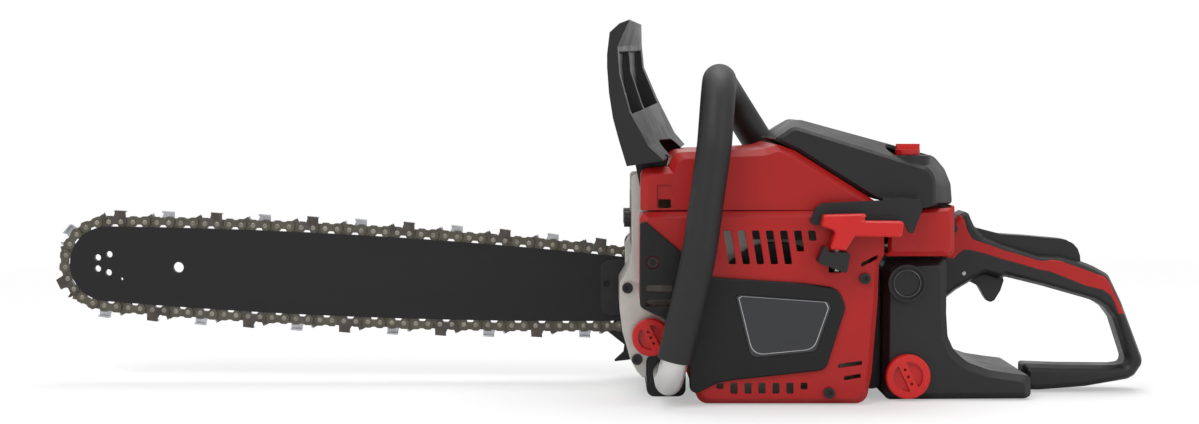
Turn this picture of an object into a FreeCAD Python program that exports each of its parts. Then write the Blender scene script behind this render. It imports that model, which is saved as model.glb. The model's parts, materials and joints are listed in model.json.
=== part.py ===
import FreeCAD, Part
import math
import os
import Sketcher

# Petrol chainsaw, built the way the real one comes apart on a bench.
# Frame: millimetres, +Z up, the guide bar points to -X, the starter side is -Y.
# The origin lies on the floor plane right below the crankshaft's axis.

V = FreeCAD.Vector
doc = FreeCAD.newDocument("petrol_chainsaw")

# Driving dimensions. Lengths in millimetres, counts as whole numbers.
SIZES = {
    "same_place": 0.01,
    "overrun": 4,
    "fit_gap": 0.3,
    "running_fit": 0.06,
    "crank_z": 67,

    # Bar and chain: three eighths of an inch between every second rivet
    "bar_y": 55,
    "bar_tilt_deg": 2.8,
    "bar_half_width": 32.6,
    "bar_nose_radius": 29.6,
    "bar_thickness": 4.8,
    "groove_width": 1.8,
    "rail_depth": 7.6,
    "bar_tail_distance": 44,
    "bar_tail_corner": 7,
    "bar_slot_start": 56,
    "bar_slot_end": 112,
    "bar_pin_place": 74,
    "bar_pin_height": 13.5,
    "bar_pin_hole_radius": 3.2,
    "bar_hole_back": 56.5,
    "bar_hole_radius": 4.2,
    "oil_hole_back": 11.9,
    "oil_hole_drop": 11.45,
    "oil_hole_radius": 1.2,
    "nose_hole_circle": 8.2,
    "nose_hole_radius": 2.6,
    "nose_hub_radius": 13.2,
    "nose_race_outer": 24,
    "nose_teeth": 11,
    "nose_tooth_radius": 23,
    "nose_root_radius": 15.4,
    "chain_pitch": 9.525,
    "drive_links": 64,
    "drive_link_thickness": 1.5,
    "strap_thickness": 1.5,
    "strap_half_height": 4.2,
    "top_plate_width": 6.4,
    "sprocket_teeth": 7,
    "sprocket_tooth_radius": 16.4,
    "sprocket_root_radius": 10.6,
    "sprocket_rim_radius": 17.1,
    "sprocket_width": 8.4,
    "drum_bore_radius": 6.06,

    # Fasteners
    "stud_radius": 4,
    "stud_first": 66,
    "stud_second": 90,
    "screw_head_radius": 4,
    "screw_head_height": 3.4,
    "screw_shank_radius": 2.2,
    "screw_shank_length": 8,

    # Crankcase: two castings that meet left of the middle plane
    "parting_y": -5,
    "case_left_y": -42,
    "fan_wall_y": -48,
    "case_right_y": 38,
    "case_length": 175,
    "case_height": 166.5,
    "case_front_x": -117,
    "case_top_z": 105,
    "case_corner": 6,
    "crank_room_radius": 37,
    "crank_room_half_width": 23,
    "bearing_outer_radius": 17.5,
    "bearing_width": 12,
    "seal_radius": 14,
    "seal_width": 5,
    "shaft_radius": 6,
    "journal_radius": 7.5,
    "web_radius": 33,
    "web_thickness": 12,
    "web_gap": 12,
    "crank_pin_radius": 7,
    "crank_throw": 17,
    "shaft_left_y": -70,
    "shaft_right_y": 80,

    # Starter cover, its black panel and the bare plate
    "cover_x": -102.6,
    "cover_z": 0.6,
    "cover_length": 178,
    "cover_height": 141,
    "cover_depth": 38,
    "cover_wall": 2.6,
    "cover_corner": 9,
    "cover_edge": 6,
    "panel_x": -102.7,
    "panel_z": 6.4,
    "panel_length": 149.4,
    "panel_height": 131.2,
    "panel_thickness": 3.4,
    "panel_corner": 5,
    "plate_x": -33.4,
    "plate_z": 34.9,
    "plate_length": 69.9,
    "plate_height": 46.3,
    "plate_thickness": 1.2,
    "plate_recess": 1,
    "plate_corner": 6,
    "vent_height": 24.5,
    "vent_width": 5.3,
    "vent_step": 10.2,
    "vent_first_x": -42,
    "vent_top_z": 127.5,
    "foot_vent_height": 8,
    "foot_vent_width": 5.1,
    "foot_vent_step": 10.2,
    "foot_vent_first_x": -46.8,
    "foot_vent_z": 8.4,
    "side_slot_length": 17.4,
    "side_slot_height": 3,
    "side_slot_x": 41.7,
    "side_slot_z": 27.2,
    "front_slot_length": 19,
    "front_slot_height": 5.2,
    "front_slot_x": -98.5,
    "front_slot_z": 83,
    "front_slot_step": 10.6,
    "pulley_post_radius": 6,
    "pulley_post_length": 12,
    "screw_well_radius": 5,
    "panel_edge": 1,
    "rope_x": 39,
    "rope_y": -98,
    "rope_window": 9,
    "rope_guide_z": 97,

    # Flywheel and rope starter
    "flywheel_y": -49.5,
    "flywheel_radius": 50,
    "flywheel_rim": 11,
    "flywheel_rim_wall": 6,
    "flywheel_web": 5,
    "flywheel_hub_radius": 15,
    "flywheel_hub": 14,
    "blade_count": 12,
    "blade_inner_radius": 24,
    "blade_thickness": 2,
    "blade_height": 9,
    "nut_radius": 9,
    "nut_height": 5,
    "pulley_y": -72,
    "pulley_width": 9,
    "pulley_flange": 1.6,
    "pulley_radius": 33,
    "pulley_core_radius": 24,
    "pulley_dog_radius": 16,
    "pulley_dog_hole": 3,
    "rope_stack": 5.4,
    "spring_outer_radius": 27,
    "spring_inner_radius": 7,
    "spring_width": 2,

    # Front handle strut, hand guard pivot, oil filler, clutch side seats
    "strut_x": -82,
    "strut_room": 30,
    "strut_room_top": 32,
    "guard_pivot_x": -94,
    "guard_pivot_z": 158,
    "guard_tab_radius": 8,
    "guard_pin_radius": 3,
    "flange_inset": 8.8,
    "oil_cap_x": -93.8,
    "oil_cap_z": 45.9,
    "oil_neck_radius": 10.2,
    "cap_plug_length": 9,
    "clutch_cover_x": -112,
    "clutch_cover_z": 22,
    "clutch_cover_length": 158,
    "clutch_cover_height": 96,
    "clutch_cover_corner": 8,
    "clutch_seat_y": 44,
    "bar_pad_start_x": -108,
    "bar_pad_end_x": -45,
    "bar_pad_bottom_z": 52,
    "bar_pad_top_z": 91,
    "bar_pad_y": 51.2,
    "stud_root": 12,
    "flange_width": 12,
    "flange_foot_z": 86.5,
    "flange_corner": 3,

    # Top cover, filter cover, air box
    "top_x": -102,
    "top_z": 141.9,
    "top_length": 171,
    "top_height": 48,
    "top_corner": 8,
    "top_width": 158,
    "top_edge": 5,
    "front_mouth_height": 25.2,
    "front_mouth_width": 124,
    "guard_arm_y": 52,
    "guard_arm_width": 5.4,
    "arm_slot_length": 20,
    "arm_slot_height": 34,
    "far_arm_slot_length": 42,
    "far_arm_slot_height": 46,
    "grip_recess_x": 12,
    "grip_recess_z": 1.5,
    "grip_recess_width": 11,
    "grip_recess_height": 17,
    "grip_hole_height": 6.4,
    "filter_cover_x": -5.6,
    "filter_cover_y": -77,
    "filter_cover_z": 121.5,
    "filter_cover_length": 135.4,
    "filter_cover_height": 87.5,
    "filter_cover_corner": 9,
    "filter_cover_width": 142,
    "filter_cover_bevel": 2.5,
    "filter_cover_facet": 28,
    "filter_cover_wall": 3,
    "filter_arm_lift": 12.7,
    "filter_arm_thickness": 3.4,
    "knob_boss_radius": 17,
    "knob_boss_foot": 51,
    "knob_boss_height": 9.1,
    "knob_x": 95.2,
    "knob_y": -58,
    "knob_radius": 9,
    "knob_disc": 4,
    "knob_bar_width": 5,
    "knob_bar_height": 4,
    "knob_stem_radius": 3,
    "knob_stem_bore": 3.06,
    "knob_stem_length": 9,
    "knob_well_radius": 16.5,
    "air_box_x": 78.4,
    "air_box_y": -69,
    "air_box_z": 107.3,
    "air_box_length": 50.6,
    "air_box_height": 37.6,
    "air_box_corner": 6,
    "air_box_width": 130,
    "air_box_edge": 4,
    "rod_y": -8,
    "rod_z": 122,
    "rod_way_radius": 3,

    # Engine top end
    "cylinder_radius": 27,
    "cylinder_height": 62,
    "cylinder_fin_reach": 38,
    "bore_radius": 22.5,
    "fin_count": 8,
    "fin_first": 12,
    "fin_step": 6,
    "fin_thickness": 2,
    "plug_radius": 6,
    "plug_seat": 14,
    "plug_length": 30,
    "boot_radius": 9.5,
    "boot_length": 12,
    "muffler_x": -108.5,
    "muffler_z": 107,
    "muffler_length": 70.5,
    "muffler_height": 52,
    "muffler_corner": 8,
    "muffler_width": 70,
    "muffler_edge": 3,
    "outlet_y": 8,
    "outlet_z": 14,
    "outlet_width": 20,
    "outlet_height": 12,
    "muffler_bolt_radius": 6,
    "muffler_bolt_height": 5,
    "muffler_bolt_y": 24,
    "muffler_bolt_z": 132.5,

    # Fuel tank, rear handle, its insert, trigger and lock
    "tank_x": 78,
    "tank_y": -60,
    "tank_length": 110,
    "tank_height": 105.6,
    "tank_width": 118,
    "tank_corner": 9,
    "tank_edge": 5,
    "tank_wall": 3,
    "tank_core_x": 62,
    "tank_core_half": 40,
    "tank_core_z": 6,
    "tank_core_top": 98,
    "rail_start_x": 170,
    "rail_end_x": 191.3,
    "rail_top_z": 16,
    "rail_bottom_z": 5,
    "rail_half": 10,
    "fuel_cap_x": 95.9,
    "fuel_cap_z": 18.1,
    "fuel_cap_radius": 16.6,
    "fuel_neck_radius": 12.2,
    "oil_cap_radius": 14.1,
    "cap_height": 6,
    "cap_bar_width": 4.6,
    "cap_slot_half": 0.9,
    "cap_bar_recess": 4,
    "handle_half": 17,
    "handle_bevel": 4.6,
    "handle_corner": 7,
    "handle_band": 3.4,
    "post_bevel": 2.6,
    "loop_length": 156.1,
    "loop_height": 106,
    "loop_x": 125.5,
    "loop_z": 1,
    "stripe_depth": 3,
    "trigger_x": 144.8,
    "trigger_half": 4.5,
    "trigger_pin_half": 17.2,
    "trigger_z": 90.7,
    "trigger_slot_half": 5.2,
    "trigger_pin_radius": 1.5,
    "lock_x": 157.2,
    "lock_half": 8.6,
    "lock_pin_half": 13,
    "lock_z": 112,
    "lock_slot_half": 9.4,
    "lock_ear": 3.2,
    "stop_x": 135.6,
    "stop_z": 125,
    "stop_radius": 3.4,
    "stop_shaft": 2,
    "stop_depth": 6,
    "stop_width": 4,
    "stop_reach": 9,
    "choke_y": 40,
    "choke_z": 128,
    "choke_rod_radius": 2,
    "choke_knob_radius": 7,
    "choke_knob_depth": 7,
    "choke_rod_start": 100,
    "plug_cap_x": 94.8,
    "plug_cap_z": 87.1,
    "plug_cap_radius": 14,
    "plug_cap_ring": 11.9,
    "plug_cap_height": 4,
    "plug_cap_recess": 1.2,

    # Carburettor, intake and filter
    "carb_x": 86,
    "carb_y": -22,
    "carb_z": 110.6,
    "carb_length": 24,
    "carb_width": 32,
    "carb_height": 30,
    "throat_radius": 8,
    "throat_z": 124,
    "boot_outer": 12,
    "boot_start_x": 38,
    "lever_shaft_radius": 2,
    "lever_x": 98,
    "lever_z": 134,
    "lever_reach": 12,
    "lever_width": 5,
    "lever_thickness": 2,
    "filter_x": 78,
    "filter_y": -46,
    "filter_z": 147,
    "filter_length": 16,
    "filter_width": 92,
    "filter_height": 24,
    "filter_neck": 6,
    "coil_half": 22,
    "coil_z": 119.5,
    "coil_height": 14,
    "coil_depth": 15,
    "mount_radius": 8,
    "trigger_eye": 3,
    "pin_way": 1.56,
    "stop_stub": 1.94,
    "grip_left": 140,
    "grip_foot": 66,
    "grip_length": 100,
    "grip_height": 60,
    "mount_half": 30,

    # Front handle: the corners of its middle line, then its section
    "tube_0_x": -82,
    "tube_0_y": 25,
    "tube_0_z": 18,
    "tube_1_x": -82,
    "tube_1_y": -104,
    "tube_1_z": 18,
    "tube_2_x": -61,
    "tube_2_y": -110,
    "tube_2_z": 110,
    "tube_3_x": -50,
    "tube_3_y": -108,
    "tube_3_z": 190,
    "tube_4_x": -46,
    "tube_4_y": -94,
    "tube_4_z": 236,
    "tube_5_x": -34,
    "tube_5_y": 86,
    "tube_5_z": 236,
    "tube_6_x": 13.5,
    "tube_6_y": 98,
    "tube_6_z": 162,
    "tube_7_x": 86,
    "tube_7_y": 84,
    "tube_7_z": 88,
    "tube_bend": 36,
    "tube_radius": 10,
    "tube_wall": 1.8,
    "sleeve_radius": 12.5,
    "clamp_start_y": -40,
    "clamp_end_y": 30,
    "clamp_foot": 0,
    "boss_radius": 11,

    # Hand guard
    "guard_left": -130,
    "guard_foot": 150,
    "guard_length": 80,
    "guard_height": 140,
    "guard_near_y": -84,
    "guard_far_y": 72,
    "guard_arm_corner": 2,
    "guard_pin_way": 3.06,
    "guard_wall": 4,
    "guard_arch_near": 40,
    "guard_arch_far": 47,
    "guard_arch_top": 192,
    "guard_arch_corner": 20,

    # Starter grip, rope and guide
    "tee_left": 24,
    "tee_foot": 95,
    "tee_length": 64,
    "tee_height": 48,
    "tee_corner": 2,
    "tee_half": 6.4,
    "tee_edge": 1.2,
    "rope_radius": 1.5,
    "rope_in_grip": 8,
    "rope_way": 2,
    "rope_foot": 99,
    "guide_depth": 17,

    # Clutch, brake band and clutch cover
    "drum_y": 60,
    "drum_wall": 2,
    "drum_radius": 36,
    "drum_width": 18,
    "shoe_radius": 33.4,
    "hub_radius": 13,
    "band_gap": 0.4,
    "band_thickness": 1.2,
    "band_start": 63,
    "band_end": 75,
    "anchor_half": 6,
    "anchor_reach": 4.4,
    "clutch_cover_depth": 44,
    "clutch_cover_wall": 3,
    "gate_depth": 21,
    "clamp_pad_half": 10,
    "clamp_pad_length": 27.4,
    "stud_way": 4.2,
    "nut_corner": 7.5,
    "nut_length": 7,
    "plate_inner_y": 51.2,
    "guide_left": -131,
    "guide_foot": 52,
    "guide_right": -45,
    "guide_top": 96,
    "guide_corner": 8,
    "guide_thickness": 1.2,
    "guide_hole_x": -126,
    "guide_hole_z": 77,
    "guide_hole_radius": 2.8,
    "tension_pin": 3,
    "tension_half": 8,
    "tension_depth": 8,
    "tension_screw": 2,
    "tension_reach": 24,
    "spike_left": -130,
    "spike_foot": 10,
    "spike_length": 24,
    "spike_height": 90,
    "spike_y": 66,
    "spike_thickness": 4,
    "spike_corner": 0.8,
    "spike_flange": 18,
    "spike_flange_foot": 42,
    "spike_flange_top": 96,
    "pump_half": 14,
    "pump_foot": 34,
    "pump_top": 47,
    "pump_depth": 6,
    "catcher_left": -107,
    "catcher_right": -97,
    "catcher_foot": 20.5,
    "catcher_top": 26.5,
    "catcher_end_y": 62,
    "choke_way": 2.06,
}

sheet = doc.addObject("Spreadsheet::Sheet", "sizes")
for row, alias in enumerate(SIZES, start=1):
    sheet.set("A%d" % row, alias)
    sheet.set("B%d" % row, str(SIZES[alias]))
    sheet.setAlias("B%d" % row, alias)
doc.recompute()

subparts = []
screws = []
hinge_pins = []


def size(alias):
    """One driving dimension, read from the sheet."""
    return float(sheet.get(alias))


def keep(part, label):
    """Give a finished sub-part its own name and list it."""
    part.Label = label
    subparts.append(part)
    return part


def new_body(name, x=0, y=0, z=0, turn=None):
    """A body whose own frame sits at x, y, z."""
    body = doc.addObject("PartDesign::Body", name)
    body.Placement = FreeCAD.Placement(V(x, y, z), turn or FreeCAD.Rotation())
    return keep(body, name)


def new_sketch(body, role="XZ_Plane", lift=0):
    """A sketch on one of the body's own planes; on XZ its lift runs to -Y."""
    sketch = body.newObject("Sketcher::SketchObject", body.Name + "_sketch")
    plane = [item for item in body.Origin.OriginFeatures if item.Role == role][0]
    sketch.AttachmentSupport = [(plane, "")]
    sketch.MapMode = "FlatFace"
    sketch.AttachmentOffset = FreeCAD.Placement(V(0, 0, lift), FreeCAD.Rotation())
    return sketch


def rounded_segments(corners, radii, closed=True):
    """Straight runs joined by tangent arcs; a radius of 0 keeps the corner sharp."""
    count = len(corners)
    entries, middles, exits = [], [], []
    for index, corner in enumerate(corners):
        is_end = not closed and index in (0, count - 1)
        if is_end or radii[index] <= 0:
            entries.append(corner)
            middles.append(None)
            exits.append(corner)
            continue
        before = corners[index - 1] - corner
        after = corners[(index + 1) % count] - corner
        shorter = min(before.Length, after.Length)
        before.normalize()
        after.normalize()
        half = before.getAngle(after) / 2
        reach = min(radii[index] / math.tan(half), shorter * LONGEST_REACH_SHARE)
        radius = reach * math.tan(half)
        middle_line = before + after
        middle_line.normalize()
        entries.append(corner + before * reach)
        middles.append(corner + middle_line * (radius / math.sin(half) - radius))
        exits.append(corner + after * reach)
    segments = []
    for index in range(count):
        if middles[index]:
            segments.append(Part.Arc(entries[index], middles[index], exits[index]))
        if closed or index < count - 1:
            following = (index + 1) % count
            segments.append(Part.LineSegment(exits[index], entries[following]))
    return segments


def shared_corners(shares, width, height):
    """Outline corners from hand-chosen shares of a width and a height."""
    return [V(share[0] * width, share[1] * height, 0) for share in shares]


def framed_corners(shares, name):
    """Corners from shares of a named frame: its left edge, foot, length and height."""
    corners = shared_corners(shares, size(name + "_length"), size(name + "_height"))
    return [corner + V(size(name + "_left"), size(name + "_foot"), 0) for corner in corners]


def framed_outline(shares, name, corner_radius=0):
    """Closed outline from shares of a named frame."""
    return rounded_segments(framed_corners(shares, name), [corner_radius] * len(shares))


def shared_outline(shares, width, height, corner_radius):
    """Closed outline from shares; a third share scales a corner's rounding."""
    corners = shared_corners(shares, width, height)
    radii = [corner_radius * (share[2] if len(share) > 2 else 1) for share in shares]
    return rounded_segments(corners, radii)


def inset_outline(shares, width, height, corner_radius, inset, fixed=(), beyond=0):
    """The same outline drawn in by a distance; edges listed as fixed stay, or move out."""
    corners = shared_corners(shares, width, height)
    count = len(corners)
    area = sum(corners[i].x * corners[(i + 1) % count].y - corners[(i + 1) % count].x * corners[i].y
               for i in range(count))
    lines = []
    for index, corner in enumerate(corners):
        along = (corners[(index + 1) % count] - corner).normalize()
        step = -beyond if index in fixed else inset
        inward = V(-along.y, along.x, 0) * math.copysign(1, area) * step
        lines.append((corner + inward, along))
    moved = []
    for index in range(count):
        start, along = lines[index - 1]
        other, towards = lines[index]
        apart = other - start
        share = (apart.x * towards.y - apart.y * towards.x) / (along.x * towards.y - along.y * towards.x)
        moved.append(start + along * share)
    radii = [corner_radius * (share[2] if len(share) > 2 else 1) for share in shares]
    return rounded_segments(moved, radii)


def moulded_shell(body, shares, width, height, corner, lifts, bevels, fixed=(), kind="AdditiveLoft"):
    """Ruled loft along Y: one outline at each lift, each drawn in by its own bevel."""
    outlines = [(lift, inset_outline(shares, width, height, corner, bevel, fixed))
                for lift, bevel in zip(lifts, bevels)]
    return loft(body, kind, outlines)


def box_outline(left, bottom, right, top, corner_radius=0):
    """Upright rectangle with rounded corners."""
    corners = [V(left, bottom, 0), V(right, bottom, 0), V(right, top, 0), V(left, top, 0)]
    return rounded_segments(corners, [corner_radius] * len(corners))


def draw(sketch, segments):
    """Put an outline in a sketch and hold it where it is drawn."""
    for segment in segments:
        index = sketch.addGeometry(segment, False)
        sketch.addConstraint(Sketcher.Constraint("Block", index))
    return sketch


def draw_circle(sketch, x, z, radius_alias):
    """A circle whose radius follows the sheet."""
    circle = Part.Circle(V(x, z, 0), V(0, 0, 1), size(radius_alias))
    index = sketch.addGeometry(circle, False)
    sketch.addConstraint(Sketcher.Constraint("DistanceX", -1, 1, index, 3, x))
    sketch.addConstraint(Sketcher.Constraint("DistanceY", -1, 1, index, 3, z))
    held = sketch.addConstraint(Sketcher.Constraint("Radius", index, size(radius_alias)))
    sketch.setExpression("Constraints[%d]" % held, "sizes." + radius_alias)
    return sketch


def add_feature(body, kind, sketch, length, other_way=False, middle=False):
    """Pad or pocket a sketch; its length is an expression on the sheet."""
    feature = body.newObject("PartDesign::" + kind, body.Name + "_" + kind.lower())
    feature.Profile = sketch
    feature.Refine = False
    feature.setExpression("Length", length)
    feature.Reversed = other_way
    if middle:
        feature.SideType = "Symmetric"
    return feature


def pad(body, sketch, length, other_way=False, middle=False):
    """Add material on a sketch."""
    feature = add_feature(body, "Pad", sketch, length, other_way, middle)
    doc.recompute()
    return feature


def pocket(body, sketch, length, other_way=False, middle=False):
    """Cut a sketch out and make sure that it took something away."""
    before = body.Shape.Volume
    feature = add_feature(body, "Pocket", sketch, length, other_way, middle)
    doc.recompute()
    if body.Shape.Volume > before * (1 - LEAST_CUT_SHARE):
        states = [(item.Name, item.State) for item in body.Group if "Invalid" in item.State]
        raise RuntimeError("a pocket of %s cuts nothing %s" % (body.Label, states))
    return feature


def edges_at(feature, axis, place):
    """Names of the edges that lie in one plane across an axis."""
    names = []
    for number, edge in enumerate(feature.Shape.Edges, start=1):
        box = edge.BoundBox
        low = (box.XMin, box.YMin, box.ZMin)[axis]
        high = (box.XMax, box.YMax, box.ZMax)[axis]
        if max(abs(low - place), abs(high - place)) < size("same_place"):
            names.append("Edge%d" % number)
    return names


def soften(body, feature, axis, place, radius, kind="Fillet"):
    """Round or bevel the edges of the face that lies at one place on an axis."""
    finish = body.newObject("PartDesign::" + kind, body.Name + "_" + kind.lower())
    finish.Base = (feature, edges_at(feature, axis, place))
    finish.setExpression("Radius" if kind == "Fillet" else "Size", radius)
    finish.Refine = False
    doc.recompute()
    return finish


def loft(body, kind, outlines):
    """Ruled loft through outlines given as (lift, segments) pairs on XZ."""
    sketches = [draw(new_sketch(body, "XZ_Plane", lift), drawn) for lift, drawn in outlines]
    feature = body.newObject("PartDesign::" + kind, body.Name + "_loft")
    feature.Profile = sketches[0]
    feature.Sections = sketches[1:]
    feature.Ruled = True
    feature.Refine = False
    doc.recompute()
    return feature


def turned(name, profile, x=0, y=0, z=0, turn=None):
    """A piece turned about its own Z axis from (radius, height) pairs."""
    body = new_body(name, x, y, z, turn)
    add_turning(body, profile)
    return body


def add_turning(body, profile, kind="Revolution"):
    """Turn a profile of (radius, height) pairs about the body's own Z axis."""
    sketch = new_sketch(body)
    corners = [V(radius, height, 0) for radius, height in profile]
    draw(sketch, rounded_segments(corners, [0] * len(corners)))
    feature = body.newObject("PartDesign::" + kind, body.Name + "_turning")
    feature.Profile = sketch
    feature.ReferenceAxis = (sketch, ["V_Axis"])
    feature.Angle = FULL_TURN
    feature.Refine = False
    doc.recompute()
    return feature


def solid_prism(segments, depth):
    """A loose prism on an outline in X and Z, from Y = 0 towards +Y."""
    wire = Part.Wire([segment.toShape() for segment in segments])
    face = Part.Face(wire)
    face.rotate(V(0, 0, 0), V(1, 0, 0), QUARTER_TURN)
    prism = face.extrude(V(0, depth, 0))
    return prism


def rod(radius, length, x, y, z, along=V(0, 1, 0)):
    """A loose round bar that starts at x, y, z."""
    return Part.makeCylinder(radius, length, V(x, y, z), along)


def block(x0, y0, z0, x1, y1, z1):
    """A loose box between two corners."""
    return Part.makeBox(x1 - x0, y1 - y0, z1 - z0, V(x0, y0, z0))


def group(name, solids):
    """Separate solids that share one name."""
    feature = doc.addObject("Part::Feature", name)
    feature.Shape = Part.makeCompound(solids) if len(solids) > 1 else solids[0]
    return keep(feature, name)


def socket_screw(head, x, y, z, along):
    """A cap screw seen by its head: shank into the work, hexagon socket outward."""
    head_radius = size("screw_head_radius") * head
    head_height = size("screw_head_height") * head
    shank_radius = size("screw_shank_radius") * head
    shank = size("screw_shank_length") * head
    outer = Part.makeCylinder(head_radius, head_height, V(x, y, z), along)
    hexagon = Part.makePolygon([
        V(head_radius * SOCKET_SHARE * math.cos(math.radians(angle)),
          head_radius * SOCKET_SHARE * math.sin(math.radians(angle)), 0)
        for angle in range(0, FULL_TURN + 1, SIXTH_TURN)])
    socket = Part.Face(hexagon).extrude(V(0, 0, head_height * SOCKET_DEPTH_SHARE))
    turn = FreeCAD.Rotation(V(0, 0, 1), along)
    depth = head_height * (1 - SOCKET_DEPTH_SHARE)
    socket.Placement = FreeCAD.Placement(V(x, y, z) + along * depth, turn)
    stem = Part.makeCylinder(shank_radius, shank, V(x, y, z), along * -1)
    return outer.cut(socket).fuse(stem)


FULL_TURN = 360
QUARTER_TURN = 90
SIXTH_TURN = 60
SOCKET_SHARE = 0.55
SOCKET_DEPTH_SHARE = 0.6
LONGEST_REACH_SHARE = 0.48
SLOT_CORNER_SHARE = 0.2
LEAST_CUT_SHARE = 0.000001


# Guide bar and saw chain

HALVINGS = 60
ARC_SHARES = (0, 1 / 2, 1)

bar_frame = FreeCAD.Rotation(V(0, 1, 0), size("bar_tilt_deg")) * FreeCAD.Rotation(V(0, 0, 1), FULL_TURN / 2)
rivet_height = size("strap_half_height")
half_pitch_angle = math.pi / (2 * size("sprocket_teeth"))
sprocket_path_radius = size("chain_pitch") / (2 * math.sin(half_pitch_angle))
nose_path_radius = size("bar_nose_radius") + rivet_height
path_half_width = size("bar_half_width") + rivet_height
rivets = int(2 * size("drive_links"))


def steps_on(arc_angle, radius):
    """How many rivet steps an arc of the chain's path holds."""
    return arc_angle / (2 * math.asin(size("chain_pitch") / (2 * radius)))


def chain_path(nose_distance):
    """Four tangent arcs round the sprocket and the nose: centre, radius, start, sweep."""
    ratio = (path_half_width - nose_path_radius) / (path_half_width - sprocket_path_radius)
    offset = (path_half_width - nose_path_radius) * (sprocket_path_radius - nose_path_radius)
    square = nose_distance ** 2 - (1 - ratio) * (nose_distance ** 2 - offset)
    crest = (nose_distance - math.sqrt(square)) / (1 - ratio)
    doubled = crest ** 2 / (path_half_width - sprocket_path_radius)
    rail_radius = (doubled + sprocket_path_radius + path_half_width) / 2
    drop = rail_radius - path_half_width
    tail_angle = math.atan2(drop, -crest)
    nose_angle = math.atan2(drop, nose_distance - crest)
    return [
        ((crest, -drop), rail_radius, tail_angle, nose_angle - tail_angle),
        ((nose_distance, 0), nose_path_radius, nose_angle, -2 * nose_angle),
        ((crest, drop), rail_radius, -nose_angle, nose_angle - tail_angle),
        ((0, 0), sprocket_path_radius, -tail_angle, 2 * tail_angle - 2 * math.pi),
    ]


def total_steps(nose_distance):
    return sum(steps_on(abs(sweep), radius) for _, radius, _, sweep in chain_path(nose_distance))


def find_nose_distance():
    """The bar length at which the chain closes with its whole number of links."""
    low = size("chain_pitch") * rivets / 4
    high = size("chain_pitch") * rivets / 2
    for _ in range(HALVINGS):
        trial = (low + high) / 2
        if total_steps(trial) > rivets:
            high = trial
        else:
            low = trial
    return trial


nose_distance = find_nose_distance()
path_arcs = chain_path(nose_distance)


def rivet_point(number):
    """Place of one rivet on the chain's path, counted from the sprocket's top."""
    left = (number + CHAIN_START_SHARE) % rivets
    for (centre_x, centre_z), radius, start, sweep in path_arcs:
        steps = steps_on(abs(sweep), radius)
        if left <= steps:
            angle = start + sweep * left / steps
            return V(centre_x + radius * math.cos(angle), 0, centre_z + radius * math.sin(angle))
        left -= steps
    return rivet_point(-CHAIN_START_SHARE)


def bar_edge(inset):
    """The rail's outline, drawn in from the chain's path, open at the tail."""
    edge = []
    for (centre_x, centre_z), radius, start, sweep in path_arcs[:-1]:
        reduced = radius - rivet_height - inset
        points = []
        for share in ARC_SHARES:
            angle = start + sweep * share
            points.append([centre_x + reduced * math.cos(angle), centre_z + reduced * math.sin(angle)])
        edge.append((centre_x, centre_z, reduced, points))
    return edge


def bar_outline(inset):
    """Closed bar outline: two rail arcs, the nose and the rounded tail."""
    top, nose, under = bar_edge(inset)
    tail_x = size("bar_tail_distance") + inset
    segments = []
    tail_points = []
    for centre_x, centre_z, radius, _ in (top, under):
        upward = 1 if centre_z < 0 else -1
        x_off = tail_x + size("bar_tail_corner") - centre_x
        z_at = centre_z + upward * math.sqrt(radius ** 2 - x_off ** 2)
        tail_points.append(V(tail_x + size("bar_tail_corner"), z_at, 0))
    top_end = V(top[3][2][0], top[3][2][1], 0)
    under_start = V(under[3][0][0], under[3][0][1], 0)
    halfway_x = (tail_points[0].x + top_end.x) / 2
    rise = math.sqrt(top[2] ** 2 - (halfway_x - top[0]) ** 2)
    segments.append(Part.Arc(tail_points[0], V(halfway_x, top[1] + rise, 0), top_end))
    segments.append(Part.Arc(top_end, V(nose[3][1][0], nose[3][1][1], 0), under_start))
    segments.append(Part.Arc(under_start, V(halfway_x, under[1] - rise, 0), tail_points[1]))
    tail_z = tail_points[0].y - size("bar_tail_corner")
    segments.append(Part.LineSegment(tail_points[1], V(tail_x, -tail_z, 0)))
    segments.append(Part.LineSegment(V(tail_x, -tail_z, 0), V(tail_x, tail_z, 0)))
    segments.append(Part.LineSegment(V(tail_x, tail_z, 0), tail_points[0]))
    return segments


def build_guide_bar():
    bar = new_body("guide_bar", 0, size("bar_y"), size("crank_z"), bar_frame)
    pad(bar, draw(new_sketch(bar), bar_outline(0)), "sizes.bar_thickness", middle=True)
    groove = draw(new_sketch(bar), bar_outline(size("rail_depth")))
    room = size("bar_half_width") * 2
    draw(groove, box_outline(-room, -room, nose_distance + room, room))
    pocket(bar, groove, "sizes.groove_width", middle=True)
    holes = new_sketch(bar)
    draw_circle(holes, nose_distance - size("bar_hole_back"), 0, "bar_hole_radius")
    for along, up in NOSE_HOLE_SHARES:
        draw_circle(holes, nose_distance + along * size("nose_hole_circle"),
                    up * size("nose_hole_circle"), "nose_hole_radius")
    draw_circle(holes, nose_distance - size("oil_hole_back"), -size("oil_hole_drop"), "oil_hole_radius")
    slot = box_outline(size("bar_slot_start"), -size("stud_radius") - size("fit_gap"),
                       size("bar_slot_end"), size("stud_radius") + size("fit_gap"),
                       size("stud_radius") * SLOT_ROUND_SHARE)
    draw(holes, slot)
    for side in (1, -1):
        draw_circle(holes, size("bar_pin_place"), side * size("bar_pin_height"), "bar_pin_hole_radius")
    pocket(bar, holes, "sizes.bar_thickness + sizes.overrun", middle=True)
    race = new_sketch(bar)
    draw_circle(race, nose_distance, 0, "nose_race_outer")
    draw_circle(race, nose_distance, 0, "nose_hub_radius")
    pocket(bar, race, "sizes.groove_width", middle=True)


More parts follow.
